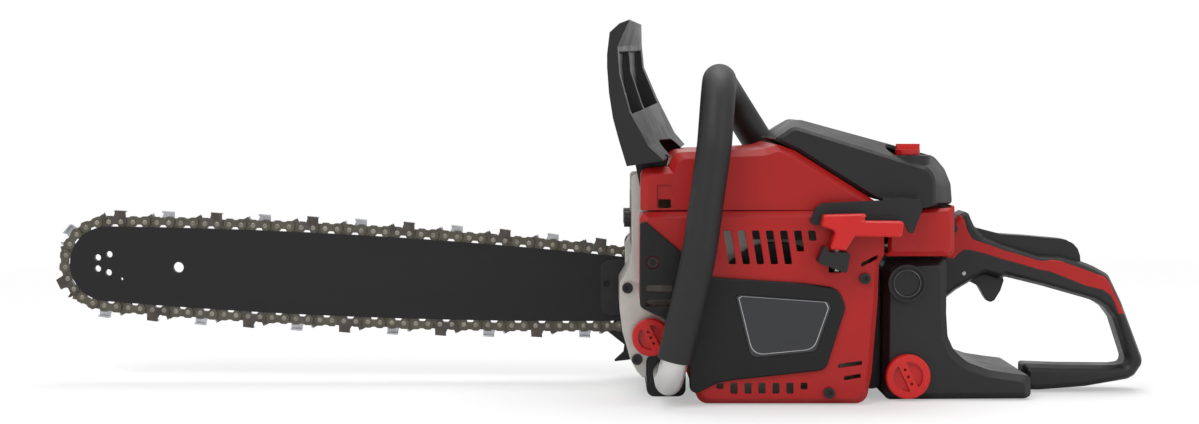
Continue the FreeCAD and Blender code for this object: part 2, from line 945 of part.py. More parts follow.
def build_nose_sprocket():
    """Thin star wheel that turns on the hub between the bar's cheeks."""
    wheel = new_body("nose_sprocket", 0, size("bar_y"), size("crank_z"), bar_frame)
    teeth = int(size("nose_teeth"))
    corners = []
    for tooth in range(teeth):
        for turn_share, reach in ((0, 1), (NOSE_ROOT_SHARE, 0), (1 - NOSE_ROOT_SHARE, 0)):
            angle = 2 * math.pi * (tooth + turn_share + 1 / 2) / teeth
            radius = size("nose_tooth_radius") if reach else size("nose_root_radius")
            corners.append(V(nose_distance + radius * math.cos(angle), radius * math.sin(angle), 0))
    sketch = draw(new_sketch(wheel), rounded_segments(corners, [0] * len(corners)))
    hub = new_sketch(wheel)
    pad(wheel, sketch, "sizes.drive_link_thickness", middle=True)
    circle = Part.Circle(V(nose_distance, 0, 0), V(0, 0, 1), size("nose_hub_radius") + size("running_fit"))
    draw(hub, [circle])
    pocket(wheel, hub, "sizes.bar_thickness", middle=True)


def link_frame(number):
    """Place and direction of the link between one rivet and the next."""
    start = rivet_point(number)
    end = rivet_point(number + 1)
    forward = end - start
    angle = math.degrees(math.atan2(forward.z, forward.x))
    return FreeCAD.Placement((start + end) / 2, FreeCAD.Rotation(V(0, -1, 0), angle))


def link_prism(shares, y_from, thickness):
    """A flat link on shares of the pitch and of the strap's half height."""
    corners = shared_corners(shares, size("chain_pitch"), size("strap_half_height"))
    prism = solid_prism(rounded_segments(corners, [0] * len(corners)), thickness)
    prism.translate(V(0, y_from, 0))
    return prism


def build_saw_chain():
    """Drive links in the groove, straps on both sides, every second pair a cutter."""
    inner = size("drive_link_thickness") / 2
    strap = size("strap_thickness")
    drive_link = link_prism(DRIVE_LINK_SHARES, -inner, 2 * inner)
    bumper_link = link_prism(BUMPER_SHARES, -inner, 2 * inner)
    straps = {
        1: link_prism(STRAP_SHARES, inner, strap),
        -1: link_prism(STRAP_SHARES, -inner - strap, strap),
    }
    cutters = {}
    for side in (1, -1):
        y_from = inner if side > 0 else -inner - strap
        cheek = link_prism(CUTTER_SHARES, y_from, strap)
        reach = size("top_plate_width")
        plate_from = inner + strap - reach if side > 0 else -inner - strap
        cutters[side] = cheek.fuse(link_prism(TOP_PLATE_SHARES, plate_from, reach)).removeSplitter()
    outward = FreeCAD.Placement(V(0, size("bar_y"), size("crank_z")), bar_frame)
    links = []
    for number in range(rivets):
        where = outward.multiply(link_frame(number))
        pair = number // 2
        if number % 2 == 0:
            kinds = [drive_link] if pair % 2 == 0 else [bumper_link]
        else:
            side = 1 if (pair // 2) % 2 else -1
            kinds = [straps[1], straps[-1]] if pair % 2 else [cutters[side], straps[-side]]
        for kind in kinds:
            link = kind.copy()
            link.Placement = where.multiply(kind.Placement)
            links.append(link)
    group("saw_chain", links)


def build_rim_sprocket():
    """Two rims that carry the straps and seven teeth that push the drive links."""
    body = new_body("rim_sprocket", 0, size("bar_y"), size("crank_z"), bar_frame)
    teeth = int(size("sprocket_teeth"))
    first_tooth = rivet_point(rivets - FIRST_TOOTH_SHARE)
    phase = math.atan2(first_tooth.z, first_tooth.x)
    corners = []
    for tooth in range(teeth):
        for turn_share, radius in ((-SPROCKET_TOOTH_SHARE, size("sprocket_tooth_radius")),
                                   (SPROCKET_TOOTH_SHARE, size("sprocket_tooth_radius")),
                                   (SPROCKET_ROOT_SHARE, size("sprocket_root_radius")),
                                   (1 - SPROCKET_ROOT_SHARE, size("sprocket_root_radius"))):
            angle = phase + 2 * math.pi * (tooth + turn_share) / teeth
            corners.append(V(radius * math.cos(angle), radius * math.sin(angle), 0))
    star = draw(new_sketch(body), rounded_segments(corners, [0] * len(corners)))
    pad(body, star, "sizes.sprocket_width", middle=True)
    rim_start = size("groove_width") / 2
    for side in (1, -1):
        lift = rim_start if side > 0 else -rim_start
        rim = new_sketch(body, "XZ_Plane", lift)
        draw_circle(rim, 0, 0, "sprocket_rim_radius")
        pad(body, rim, "(sizes.sprocket_width - sizes.groove_width) / 2", other_way=side < 0)
    bore = new_sketch(body)
    draw_circle(bore, 0, 0, "drum_bore_radius")
    pocket(body, bore, "sizes.sprocket_width + sizes.overrun", middle=True)


CHAIN_START_SHARE = 1.13
NOSE_HOLE_SHARES = [(-0.16, 0.93), (0.93, 0.57), (0.9, -0.51), (-0.16, -0.83)]
NOSE_ROOT_SHARE = 0.3
SPROCKET_TOOTH_SHARE = 0.1
FIRST_TOOTH_SHARE = 2.5
SPROCKET_ROOT_SHARE = 0.24
SLOT_ROUND_SHARE = 0.95
DRIVE_LINK_SHARES = [
    (-0.86, -0.45), (-0.72, 0.78), (0.72, 0.78), (0.86, -0.45), (0.46, -1.3), (0.22, -2.4),
    (-0.46, -1.3)]
STRAP_SHARES = [
    (-0.93, -0.35), (-0.72, -1), (-0.49, -1), (-0.3, -0.92), (-0.2, -0.55), (0.2, -0.55), (0.3, -0.92),
    (0.49, -1), (0.72, -1),
    (0.93, -0.35), (0.93, 0.45), (0.72, 1), (0.3, 1), (0.12, 0.78), (-0.12, 0.78), (-0.3, 1),
    (-0.72, 1), (-0.93, 0.45)]
CUTTER_SHARES = [
    (-0.93, -0.35), (-0.72, -1), (-0.49, -1), (-0.3, -0.92), (-0.2, -0.55), (0.2, -0.55), (0.3, -0.92),
    (0.49, -1), (0.72, -1),
    (0.93, -0.35), (0.93, 0.45), (0.97, 0.9), (0.95, 1.3), (0.86, 1.68), (0.78, 1.35), (0.68, 0.9),
    (0.4, 0.6), (0.12, 0.9), (0.02, 1.5), (0.03, 2.1), (-0.88, 2), (-0.9, 1), (-0.93, 0.45)]
BUMPER_SHARES = [
    (-0.86, -0.45), (-0.72, 0.78), (-0.3, 0.8), (-0.12, 1.1), (-0.02, 1.5), (0.14, 1.25),
    (0.45, 0.85), (0.86, 0.3), (0.86, -0.45), (0.46, -1.3), (0.22, -2.4), (-0.46, -1.3)]
TOP_PLATE_SHARES = [(0.03, 2.1), (0.03, 1.8), (-0.88, 1.7), (-0.88, 2)]

build_guide_bar()
build_nose_sprocket()
build_saw_chain()
build_rim_sprocket()


# Crankcase, crankshaft and what seals and carries it

def build_case_half(name, seat_y):
    """One half casting on the side outline that both halves share."""
    body = new_body(name, size("case_front_x"), seat_y, 0)
    depth_aliases = {
        "crankcase_left": "sizes.parting_y - sizes.case_left_y",
        "crankcase_right": "sizes.case_right_y - sizes.parting_y",
    }
    outline = shared_outline(CASE_SHARES, size("case_length"), size("case_height"), size("case_corner"))
    pad(body, draw(new_sketch(body), outline), depth_aliases[name])
    return body


def bore(body, lift, radius_alias, length, other_way):
    """A round bore on the crankshaft's axis."""
    sketch = new_sketch(body, "XZ_Plane", lift)
    draw_circle(sketch, -size("case_front_x"), size("crank_z"), radius_alias)
    return pocket(body, sketch, length, other_way)


def handle_notch():
    """Room under the casting for the handle's bottom strut."""
    half = size("strut_room") / 2
    middle = size("strut_x") - size("case_front_x")
    return box_outline(middle - half, -size("overrun"), middle + half, size("strut_room_top"),
                       size("case_corner"))


def add_front_flange(body, lift, thickness, other_way):
    """Tall flange at the front of a casting, widened at its top for the guard's pin."""
    pivot_x = size("guard_pivot_x") - size("case_front_x")
    reach = size("guard_tab_radius")
    left = size("flange_inset")
    for right, bottom in ((left + size("flange_width"), size("flange_foot_z")),
                          (pivot_x + reach, size("guard_pivot_z") - reach)):
        sketch = new_sketch(body, "XZ_Plane", lift)
        draw(sketch, box_outline(left, bottom, right, size("case_height"), size("flange_corner")))
        pad(body, sketch, thickness, other_way)


def build_crankcase_left():
    body = build_case_half("crankcase_left", size("parting_y"))
    depth = size("parting_y") - size("case_left_y")
    wall = new_sketch(body, "XZ_Plane", depth)
    cover = shared_outline(COVER_SHARES, size("cover_length"), size("cover_height"), size("cover_corner"))
    shift = V(size("cover_x") - size("case_front_x"), size("cover_z"), 0)
    for segment in cover:
        segment.translate(shift)
    pad(body, draw(wall, cover), "sizes.case_left_y - sizes.fan_wall_y")
    add_front_flange(body, depth, "sizes.case_left_y - sizes.fan_wall_y", False)
    pivot_x = size("guard_pivot_x") - size("case_front_x")
    pivot = new_sketch(body, "XZ_Plane", depth - size("overrun"))
    draw_circle(pivot, pivot_x, size("guard_pivot_z"), "guard_pin_radius")
    pocket(body, pivot, "sizes.case_left_y - sizes.fan_wall_y + 2 * sizes.overrun", other_way=True)
    bore(body, 0, "crank_room_radius", "sizes.crank_room_half_width + sizes.parting_y", True)
    reach_y = size("crank_room_half_width") + size("parting_y")
    bore(body, reach_y, "bearing_outer_radius", "sizes.bearing_width", True)
    bore(body, reach_y + size("bearing_width"), "seal_radius", "sizes.overrun + sizes.seal_width * 3", True)
    notch = draw(new_sketch(body), handle_notch())
    pocket(body, notch, "sizes.parting_y - sizes.fan_wall_y + sizes.overrun", other_way=True)
    filler = new_sketch(body, "XZ_Plane", depth + size("case_left_y") - size("fan_wall_y"))
    draw_circle(filler, size("oil_cap_x") - size("case_front_x"), size("oil_cap_z"), "oil_neck_radius")
    pocket(body, filler, "sizes.cap_plug_length + sizes.overrun")
    tapped = new_sketch(body, "XZ_Plane", depth)
    for share_x, share_z in CASE_SCREW_SHARES:
        draw_circle(tapped, share_x * size("case_length"), share_z * size("case_height"),
                    "screw_shank_radius")
    pocket(body, tapped, "sizes.screw_shank_length")


def build_crankcase_right():
    depth = size("case_right_y") - size("parting_y")
    body = build_case_half("crankcase_right", size("case_right_y"))
    case_pad_sketch = new_sketch(body, "XZ_Plane", 0)
    wall = shared_outline(CLUTCH_COVER_SHARES, size("clutch_cover_length"),
                          size("clutch_cover_height"), size("clutch_cover_corner"))
    shift = V(size("clutch_cover_x") - size("case_front_x"), size("clutch_cover_z"), 0)
    for segment in wall:
        segment.translate(shift)
    pad(body, draw(case_pad_sketch, wall), "sizes.clutch_seat_y - sizes.case_right_y", other_way=True)
    bar_pad = new_sketch(body, "XZ_Plane", size("case_right_y") - size("clutch_seat_y"))
    draw(bar_pad, box_outline(size("bar_pad_start_x") - size("case_front_x"), size("bar_pad_bottom_z"),
                              size("bar_pad_end_x") - size("case_front_x"), size("bar_pad_top_z"),
                              size("case_corner")))
    pad(body, bar_pad, "sizes.bar_pad_y - sizes.clutch_seat_y", other_way=True)
    bore(body, depth, "crank_room_radius", "sizes.crank_room_half_width - sizes.parting_y", False)
    reach_y = size("case_right_y") - size("crank_room_half_width")
    bore(body, reach_y, "bearing_outer_radius", "sizes.bearing_width", False)
    bore(body, reach_y - size("bearing_width"), "seal_radius",
         "sizes.clutch_seat_y - sizes.crank_room_half_width", False)
    notch = draw(new_sketch(body, "XZ_Plane", depth), handle_notch())
    pocket(body, notch, "sizes.clutch_seat_y - sizes.parting_y + sizes.overrun", other_way=False)
    studs = new_sketch(body, "XZ_Plane", size("case_right_y") - size("bar_pad_y"))
    for alias in ("stud_first", "stud_second"):
        place = bar_place(size(alias), 0)
        draw_circle(studs, place.x - size("case_front_x"), place.z, "stud_radius")
    pocket(body, studs, "sizes.stud_root", other_way=True)
    add_front_flange(body, 0, "sizes.clutch_seat_y - sizes.case_right_y", True)
    pivot = new_sketch(body, "XZ_Plane", size("overrun"))
    draw_circle(pivot, size("guard_pivot_x") - size("case_front_x"), size("guard_pivot_z"),
                "guard_pin_radius")
    pocket(body, pivot, "sizes.clutch_seat_y - sizes.case_right_y + 2 * sizes.overrun", other_way=False)


def bar_place(along, up):
    """A point of the bar's own frame in the object's frame."""
    return V(0, size("bar_y"), size("crank_z")) + bar_frame.multVec(V(along, 0, up))


def build_crankshaft():
    """Shaft with two webs, journals, a crank pin and counterweights."""
    body = new_body("crankshaft", 0, 0, size("crank_z"))
    webs = size("web_thickness") + size("web_gap") / 2
    for side in (1, -1):
        web = new_sketch(body, "XZ_Plane", side * size("web_gap") / 2)
        draw_circle(web, 0, 0, "web_radius")
        pad(body, web, "sizes.web_thickness", other_way=side < 0)
    pin = new_sketch(body)
    draw_circle(pin, 0, size("crank_throw"), "crank_pin_radius")
    pad(body, pin, "sizes.web_gap", middle=True)
    flats = new_sketch(body)
    waist = size("crank_pin_radius") * WEB_WAIST_SHARE
    for side in (1, -1):
        near_x = side * waist
        far_x = side * size("web_radius")
        draw(flats, box_outline(min(near_x, far_x), size("journal_radius"), max(near_x, far_x),
                                size("web_radius")))
    pocket(body, flats, "sizes.web_gap + 2 * sizes.web_thickness + sizes.overrun", middle=True)
    for side, end in ((1, "sizes.shaft_left_y"), (-1, "sizes.shaft_right_y")):
        journal = new_sketch(body, "XZ_Plane", side * webs)
        draw_circle(journal, 0, 0, "journal_radius")
        pad(body, journal, "sizes.bearing_width + sizes.seal_width", other_way=side < 0)
        stub = new_sketch(body, "XZ_Plane", side * webs)
        draw_circle(stub, 0, 0, "shaft_radius")
        pad(body, stub, "abs(%s) - sizes.web_thickness - sizes.web_gap / 2" % end, other_way=side < 0)


def build_bearings():
    """Ball races, one on each side of the crank room."""
    room = size("crank_room_half_width")
    inner = size("journal_radius") + size("running_fit")
    bearings = []
    for side in (1, -1):
        start = side * room
        outwards = V(0, side, 0)
        outer = rod(size("bearing_outer_radius"), size("bearing_width"), 0, start, size("crank_z"), outwards)
        hole = rod(inner, size("bearing_width"), 0, start, size("crank_z"), outwards)
        bearings.append(outer.cut(hole))
    group("crankshaft_bearings", bearings)


WEB_WAIST_SHARE = 1.7
CASE_SCREW_SHARES = [(0.034, 0.492), (0.075, 0.17)]
COVER_SHARES = [
    (0.0, 0.984, 0.5), (0.061, 0.995, 1), (0.693, 1.0, 1), (0.999, 0.984, 0.6), (1.0, 0.766, 0.8),
    (0.979, 0.735, 1), (0.975, 0.538, 1), (0.952, 0.162, 1), (0.93, 0.0, 1), (0.247, 0.0, 1),
    (0.205, 0.12, 1), (0.111, 0.428, 1), (0.0, 0.5, 1)]
CLUTCH_COVER_SHARES = [
    (0.0, 0.16, 1), (0.12, 0.03, 1), (0.42, 0.0, 1), (0.8, 0.0, 4.5), (1.0, 0.2, 4.5),
    (1.0, 0.75, 4.5), (0.78, 0.96, 4.5), (0.3, 1.0, 1), (0.0, 0.98, 1)]
CASE_SHARES = [
    (0.0, 0.51, 0.6), (0.0, 0.4, 1), (0.012, 0.295, 1), (0.046, 0.17, 1), (0.075, 0.115, 1),
    (0.114, 0.072, 1), (0.126, 0.16, 0.5), (0.33, 0.16, 0.5), (0.33, 0.0, 0.5), (0.995, 0.0, 1.6),
    (1.0, 0.06, 1), (1.0, 0.625, 1.6), (0.86, 0.63, 1), (0.086, 0.63, 0.5), (0.05, 0.6, 0.5)]

build_crankcase_left()
build_crankcase_right()
build_crankshaft()
build_bearings()


# Starter cover with its grille, black panel and bare plate

def slanted_slot(left, top, width, height, lean):
    """A slot whose foot leans away from its top."""
    corners = [V(left, top, 0), V(left + width, top, 0),
               V(left + width + lean, top - height, 0), V(left + lean, top - height, 0)]
    return rounded_segments(corners, [width * SLOT_CORNER_SHARE] * len(corners))


def rising_slot(left, low, length, rise):
    """A narrow slot that climbs towards the rear."""
    height = size("side_slot_height")
    high = low + length * rise
    corners = [V(left, low, 0), V(left + length, high, 0), V(left + length, high + height, 0),
               V(left, low + height, 0)]
    return rounded_segments(corners, [height * SLOT_CORNER_SHARE] * len(corners))


def build_starter_cover():
    """Moulded shell over the flywheel, with the air grille cut through its face."""
    body = new_body("starter_cover", size("cover_x"), size("fan_wall_y"), size("cover_z"))
    depth, wall, edge = size("cover_depth"), size("cover_wall"), size("cover_edge")
    form = (COVER_SHARES, size("cover_length"), size("cover_height"), size("cover_corner"))
    moulded_shell(body, *form, (0, depth - edge, depth), (0, 0, edge * EDGE_DRAFT_SHARE))
    moulded_shell(body, *form, (-size("overrun"), depth - edge, depth - wall),
                  (wall, wall, wall + edge * EDGE_DRAFT_SHARE), kind="SubtractiveLoft")
    shift_x, shift_z = size("cover_x"), size("cover_z")
    grille = new_sketch(body, "XZ_Plane", size("cover_depth"))
    for number, short in enumerate(VENT_SHARES):
        height = size("vent_height") * short
        lean = size("vent_height") * VENT_LEAN_SHARE * short
        left = size("vent_first_x") + number * size("vent_step") - shift_x
        draw(grille, slanted_slot(left, size("vent_top_z") - shift_z, size("vent_width"), height, lean))
    for number, short in enumerate(FOOT_VENT_SHARES):
        left = size("foot_vent_first_x") + number * size("foot_vent_step") - shift_x
        height = size("foot_vent_height") * short
        top = size("foot_vent_z") + size("foot_vent_height") - shift_z
        draw(grille, slanted_slot(left, top, size("foot_vent_width"), height, 0))
    for right, up, longer, rise in SIDE_SLOT_SHARES:
        length = size("side_slot_length")
        left = size("side_slot_x") + right * length - shift_x
        draw(grille, rising_slot(left, size("side_slot_z") + up * length - shift_z, length * longer, rise))
    for number in range(SLOT_PAIR):
        left = size("front_slot_x") - shift_x
        low = size("front_slot_z") - number * size("front_slot_step") - shift_z
        draw(grille, box_outline(left, low, left + size("front_slot_length"),
                                 low + size("front_slot_height"),
                                 size("front_slot_height") * SLOT_CORNER_SHARE))
    draw(grille, box_outline(size("rope_x") - size("rope_window") / 2 - shift_x,
                             size("rope_guide_z") - shift_z,
                             size("rope_x") + size("rope_window") / 2 - shift_x,
                             size("rope_guide_z") + size("rope_window") - shift_z))
    for place_x, place_z in COVER_SCREW_SHARES:
        draw_circle(grille, place_x * size("cover_length"), place_z * size("cover_height"),
                    "screw_shank_radius")
    pocket(body, grille, "sizes.cover_wall + sizes.overrun")
    post = new_sketch(body, "XZ_Plane", size("cover_depth") - size("cover_wall"))
    draw_circle(post, -shift_x, size("crank_z") - shift_z, "pulley_post_radius")
    pad(body, post, "sizes.pulley_post_length", other_way=True)


def build_cover_panel():
    """Black moulded panel that lies on the cover's face, recessed for the bare plate."""
    face_y = size("fan_wall_y") - size("cover_depth")
    body = new_body("cover_panel", size("panel_x"), face_y, size("panel_z"))
    outline = shared_outline(PANEL_SHARES, size("panel_length"), size("panel_height"), size("panel_corner"))
    slab = pad(body, draw(new_sketch(body), outline), "sizes.panel_thickness")
    soften(body, slab, 1, -size("panel_thickness"), "sizes.panel_edge", "Chamfer")
    shift_x, shift_z = size("panel_x"), size("panel_z")
    recess = new_sketch(body, "XZ_Plane", size("panel_thickness"))
    plate = shared_outline(PLATE_SHARES, size("plate_length"), size("plate_height"), size("plate_corner"))
    for segment in plate:
        segment.translate(V(size("plate_x") - shift_x, size("plate_z") - shift_z, 0))
    draw(recess, plate)
    pocket(body, recess, "sizes.plate_recess")
    slots = new_sketch(body, "XZ_Plane", size("panel_thickness"))
    for number in range(SLOT_PAIR):
        left = size("front_slot_x") - shift_x
        low = size("front_slot_z") - number * size("front_slot_step") - shift_z
        draw(slots, box_outline(left, low, left + size("front_slot_length"),
                                low + size("front_slot_height"),
                                size("front_slot_height") * SLOT_CORNER_SHARE))
    screw_x = size("cover_x") + COVER_SCREW_SHARES[0][0] * size("cover_length") - shift_x
    screw_z = size("cover_z") + COVER_SCREW_SHARES[0][1] * size("cover_height") - shift_z
    draw_circle(slots, screw_x, screw_z, "screw_well_radius")
    pocket(body, slots, "sizes.panel_thickness + sizes.overrun")


def build_face_plate():
    """Plain plate in the panel's recess; it carries nothing."""
    face_y = size("fan_wall_y") - size("cover_depth") - size("panel_thickness") + size("plate_recess")
    body = new_body("face_plate", size("plate_x"), face_y, size("plate_z"))
    outline = shared_outline(PLATE_SHARES, size("plate_length"), size("plate_height"), size("plate_corner"))
    inside = Part.Wire([segment.toShape() for segment in outline]).makeOffset2D(-size("fit_gap"))
    sketch = new_sketch(body)
    for edge in inside.Edges:
        sketch.addGeometry(edge.Curve.trim(edge.FirstParameter, edge.LastParameter), False)
    pad(body, sketch, "sizes.plate_thickness")


def build_flywheel():
    """Wheel with a raised rim and curved-back fan blades towards the cover."""
    wheel = turned("flywheel", [
        (size("shaft_radius"), 0), (size("flywheel_radius"), 0),
        (size("flywheel_radius"), size("flywheel_rim")),
        (size("flywheel_radius") - size("flywheel_rim_wall"), size("flywheel_rim")),
        (size("flywheel_radius") - size("flywheel_rim_wall"), size("flywheel_web")),
        (size("flywheel_hub_radius"), size("flywheel_web")),
        (size("flywheel_hub_radius"), size("flywheel_hub")), (size("shaft_radius"), size("flywheel_hub"))],
        0, size("flywheel_y"), size("crank_z"), FreeCAD.Rotation(V(1, 0, 0), QUARTER_TURN))
    blades = new_sketch(wheel, "XY_Plane", size("flywheel_web"))
    inner = size("blade_inner_radius")
    outer = size("flywheel_radius") - size("flywheel_rim_wall") / 2
    half = size("blade_thickness") / 2
    count = int(size("blade_count"))
    for number in range(count):
        turn = 2 * math.pi * number / count
        lean = turn + BLADE_LEAN_SHARE
        start = V(inner * math.cos(turn), inner * math.sin(turn), 0)
        end = V(outer * math.cos(lean), outer * math.sin(lean), 0)
        across = (end - start).cross(V(0, 0, 1)).normalize() * half
        corners = [start - across, start + across, end + across, end - across]
        draw(blades, rounded_segments(corners, [0] * len(corners)))
    pad(wheel, blades, "sizes.blade_height")


def build_starter_works():
    """Rope pulley, clock spring, pawls and the flywheel's nut."""
    pulley = turned("starter_pulley", [
        (size("pulley_post_radius") + size("running_fit"), 0), (size("pulley_radius"), 0),
        (size("pulley_radius"), size("pulley_flange")), (size("pulley_core_radius"), size("pulley_flange")),
        (size("pulley_core_radius"), size("pulley_width") - size("pulley_flange")),
        (size("pulley_radius"), size("pulley_width") - size("pulley_flange")),
        (size("pulley_radius"), size("pulley_width")),
        (size("pulley_post_radius") + size("running_fit"), size("pulley_width"))],
        0, size("pulley_y"), size("crank_z"), FreeCAD.Rotation(V(1, 0, 0), QUARTER_TURN))
    notch = new_sketch(pulley, "XY_Plane")
    for turn in range(PULLEY_DOGS):
        angle = 2 * math.pi * turn / PULLEY_DOGS
        reach = size("pulley_dog_radius")
        draw_circle(notch, reach * math.cos(angle), reach * math.sin(angle), "pulley_dog_hole")
    pocket(pulley, notch, "sizes.pulley_flange", other_way=True)
    spring_y = size("fan_wall_y") - size("cover_depth") + size("cover_wall")
    ring = rod(size("spring_outer_radius"), size("spring_width"), 0, spring_y, size("crank_z"))
    hole = rod(size("spring_inner_radius"), size("spring_width"), 0, spring_y, size("crank_z"))
    group("recoil_spring", [ring.cut(hole)])
    wound = rod(size("pulley_radius") - size("fit_gap"), size("rope_stack"), 0,
                size("pulley_y") - size("pulley_width") / 2 - size("rope_stack") / 2, size("crank_z"))
    core = rod(size("pulley_core_radius"), size("rope_stack"), 0,
               size("pulley_y") - size("pulley_width") / 2 - size("rope_stack") / 2, size("crank_z"))
    group("wound_rope", [wound.cut(core)])
    turned("flywheel_nut", [(size("shaft_radius"), 0), (size("nut_radius"), 0),
                            (size("nut_radius"), size("nut_height")),
                            (size("shaft_radius"), size("nut_height"))],
           0, size("flywheel_y") - size("flywheel_hub"), size("crank_z"),
           FreeCAD.Rotation(V(1, 0, 0), QUARTER_TURN))


VENT_LEAN_SHARE = 0.16
EDGE_DRAFT_SHARE = 0.7
BLADE_LEAN_SHARE = 0.22
PULLEY_DOGS = 6
SLOT_PAIR = 2
VENT_SHARES = [1, 1, 1, 1, 1, 0.62, 0.3]
FOOT_VENT_SHARES = [0.55, 1, 1, 1, 1, 1, 0.6]
SIDE_SLOT_SHARES = [(0, 0, 1, 0.14), (0.25, -0.52, 0.7, 0.16), (0.937, 4.24, 0.69, 0.5)]
COVER_SCREW_SHARES = [(0.053, 0.737), (0.917, 0.653), (0.774, 0.061), (0.3, 0.93)]
PANEL_SHARES = [
    (0.0, 1.0, 0.6), (0.209, 0.8, 1), (0.349, 0.666, 1), (0.8, 0.632, 1), (0.965, 0.605, 2.5),
    (1.0, 0.5, 2), (0.904, 0.15, 1.5), (0.463, 0.095, 1), (0.379, 0.079, 1), (0.244, 0.0, 1),
    (0.238, 0.17, 0.5), (0.198, 0.195, 0.5), (0.121, 0.43, 1), (0.0, 0.5, 1)]
PLATE_SHARES = [
    (0.0, 0.97, 0.6), (0.036, 1.0, 0.6), (0.97, 0.9, 0.8), (1.0, 0.8, 0.8), (0.84, 0.1, 1),
    (0.16, 0.0, 1)]

build_starter_cover()
build_cover_panel()
build_face_plate()
build_flywheel()
build_starter_works()


# Top cover, air filter cover, air box and what sits under them

def build_top_cover():
    """Red shroud over the cylinder: a rounded shell, open below and in front."""
    body = new_body("top_cover", size("top_x"), 0, size("top_z"))
    half, wall, edge = size("top_width") / 2, size("cover_wall"), size("top_edge")
    form = (TOP_SHARES, size("top_length"), size("top_height"), size("top_corner"))
    seat = (len(TOP_SHARES) - 1,)
    moulded_shell(body, *form, (half, half - edge, edge - half, -half), (edge, 0, 0, edge), seat)
    inner = half - wall
    moulded_shell(body, *form, (inner, inner - edge, edge - inner, -inner),
                  (wall + edge, wall, wall, wall + edge), seat, "SubtractiveLoft")
    mouth = draw(new_sketch(body), box_outline(wall, -size("overrun"), size("top_length") - wall, 2 * wall))
    pocket(body, mouth, "sizes.top_width - 2 * sizes.cover_wall", middle=True)
    front = draw(new_sketch(body), box_outline(-size("overrun"), -size("overrun"), 2 * wall,
                                               size("front_mouth_height")))
    pocket(body, front, "sizes.front_mouth_width", middle=True)
    for side, kind in ((1, "arm_slot"), (-1, "far_arm_slot")):
        slot = new_sketch(body, "XZ_Plane", side * size("guard_arm_y"))
        draw(slot, box_outline(-size("overrun"), -size("overrun"), size(kind + "_length"),
                               size(kind + "_height")))
        pocket(body, slot, "sizes.guard_arm_width + 2 * sizes.panel_edge", middle=True)
    recess = new_sketch(body, "XZ_Plane", half)
    draw(recess, box_outline(size("grip_recess_x"), size("grip_recess_z"),
                             size("grip_recess_x") + size("grip_recess_width"),
                             size("grip_recess_z") + size("grip_recess_height"), size("cover_wall") / 2))
    pocket(body, recess, "sizes.cover_wall / 2")
    hole = new_sketch(body, "XZ_Plane", half)
    draw(hole, box_outline(size("grip_recess_x") + size("panel_edge"), size("grip_recess_z"),
                           size("grip_recess_x") + size("grip_recess_width") - size("panel_edge"),
                           size("grip_recess_z") + size("grip_hole_height"), size("panel_edge")))
    pocket(body, hole, "2 * sizes.cover_wall")


def filter_section(shares, inset, beyond=0):
    """Side outline of the filter cover, drawn in apart from its open underside."""
    return inset_outline(shares, size("filter_cover_length"), size("filter_cover_height"),
                         size("filter_cover_corner"), inset, FILTER_OPEN_EDGES, beyond)


def build_filter_cover():
    """Black cover over the air filter with sloping sides and an arm that runs down the near one."""
    body = new_body("filter_cover", size("filter_cover_x"), size("filter_cover_y"), size("filter_cover_z"))
    width, facet = size("filter_cover_width"), size("filter_cover_facet")
    edge, wall = size("filter_cover_bevel"), size("filter_cover_wall")
    loft(body, "AdditiveLoft", [
        (0, filter_section(FILTER_SIDE_SHARES, edge)), (-edge, filter_section(FILTER_SIDE_SHARES, 0)),
        (-facet, filter_section(FILTER_COVER_SHARES, 0)),
        (facet - width, filter_section(FILTER_COVER_SHARES, 0)),
        (edge - width, filter_section(FILTER_SIDE_SHARES, 0)),
        (-width, filter_section(FILTER_SIDE_SHARES, edge))])
    loft(body, "SubtractiveLoft", [
        (-wall, filter_section(FILTER_SIDE_SHARES, wall, wall)),
        (-facet, filter_section(FILTER_COVER_SHARES, wall, wall)),
        (facet - width, filter_section(FILTER_COVER_SHARES, wall, wall)),
        (wall - width, filter_section(FILTER_SIDE_SHARES, wall, wall))])
    arm = new_sketch(body, "XZ_Plane", size("filter_arm_lift"))
    draw(arm, shared_outline(FILTER_ARM_SHARES, size("filter_cover_length"), size("filter_cover_height"),
                             wall))
    pad(body, arm, "sizes.filter_arm_thickness", other_way=True)
    bridge = new_sketch(body, "XZ_Plane", size("filter_arm_lift"))
    draw(bridge, shared_outline(FILTER_BRIDGE_SHARES, size("filter_cover_length"),
                                size("filter_cover_height"), 0))
    pad(body, bridge, "sizes.filter_arm_lift + sizes.panel_edge", other_way=True)
    knob_x, knob_y = size("knob_x") - size("filter_cover_x"), size("knob_y") - size("filter_cover_y")
    boss = new_sketch(body, "XY_Plane", size("knob_boss_foot"))
    draw_circle(boss, knob_x, knob_y, "knob_boss_radius")
    pad(body, boss, "sizes.knob_boss_height")
    well = new_sketch(body, "XY_Plane", size("knob_boss_foot") + size("knob_boss_height"))
    draw_circle(well, knob_x, knob_y, "knob_well_radius")
    pocket(body, well, "sizes.filter_cover_height / 2", other_way=True)
    hole = new_sketch(body, "XY_Plane", size("filter_cover_height"))
    draw_circle(hole, knob_x, knob_y, "knob_stem_bore")
    pocket(body, hole, "sizes.filter_cover_height / 2")


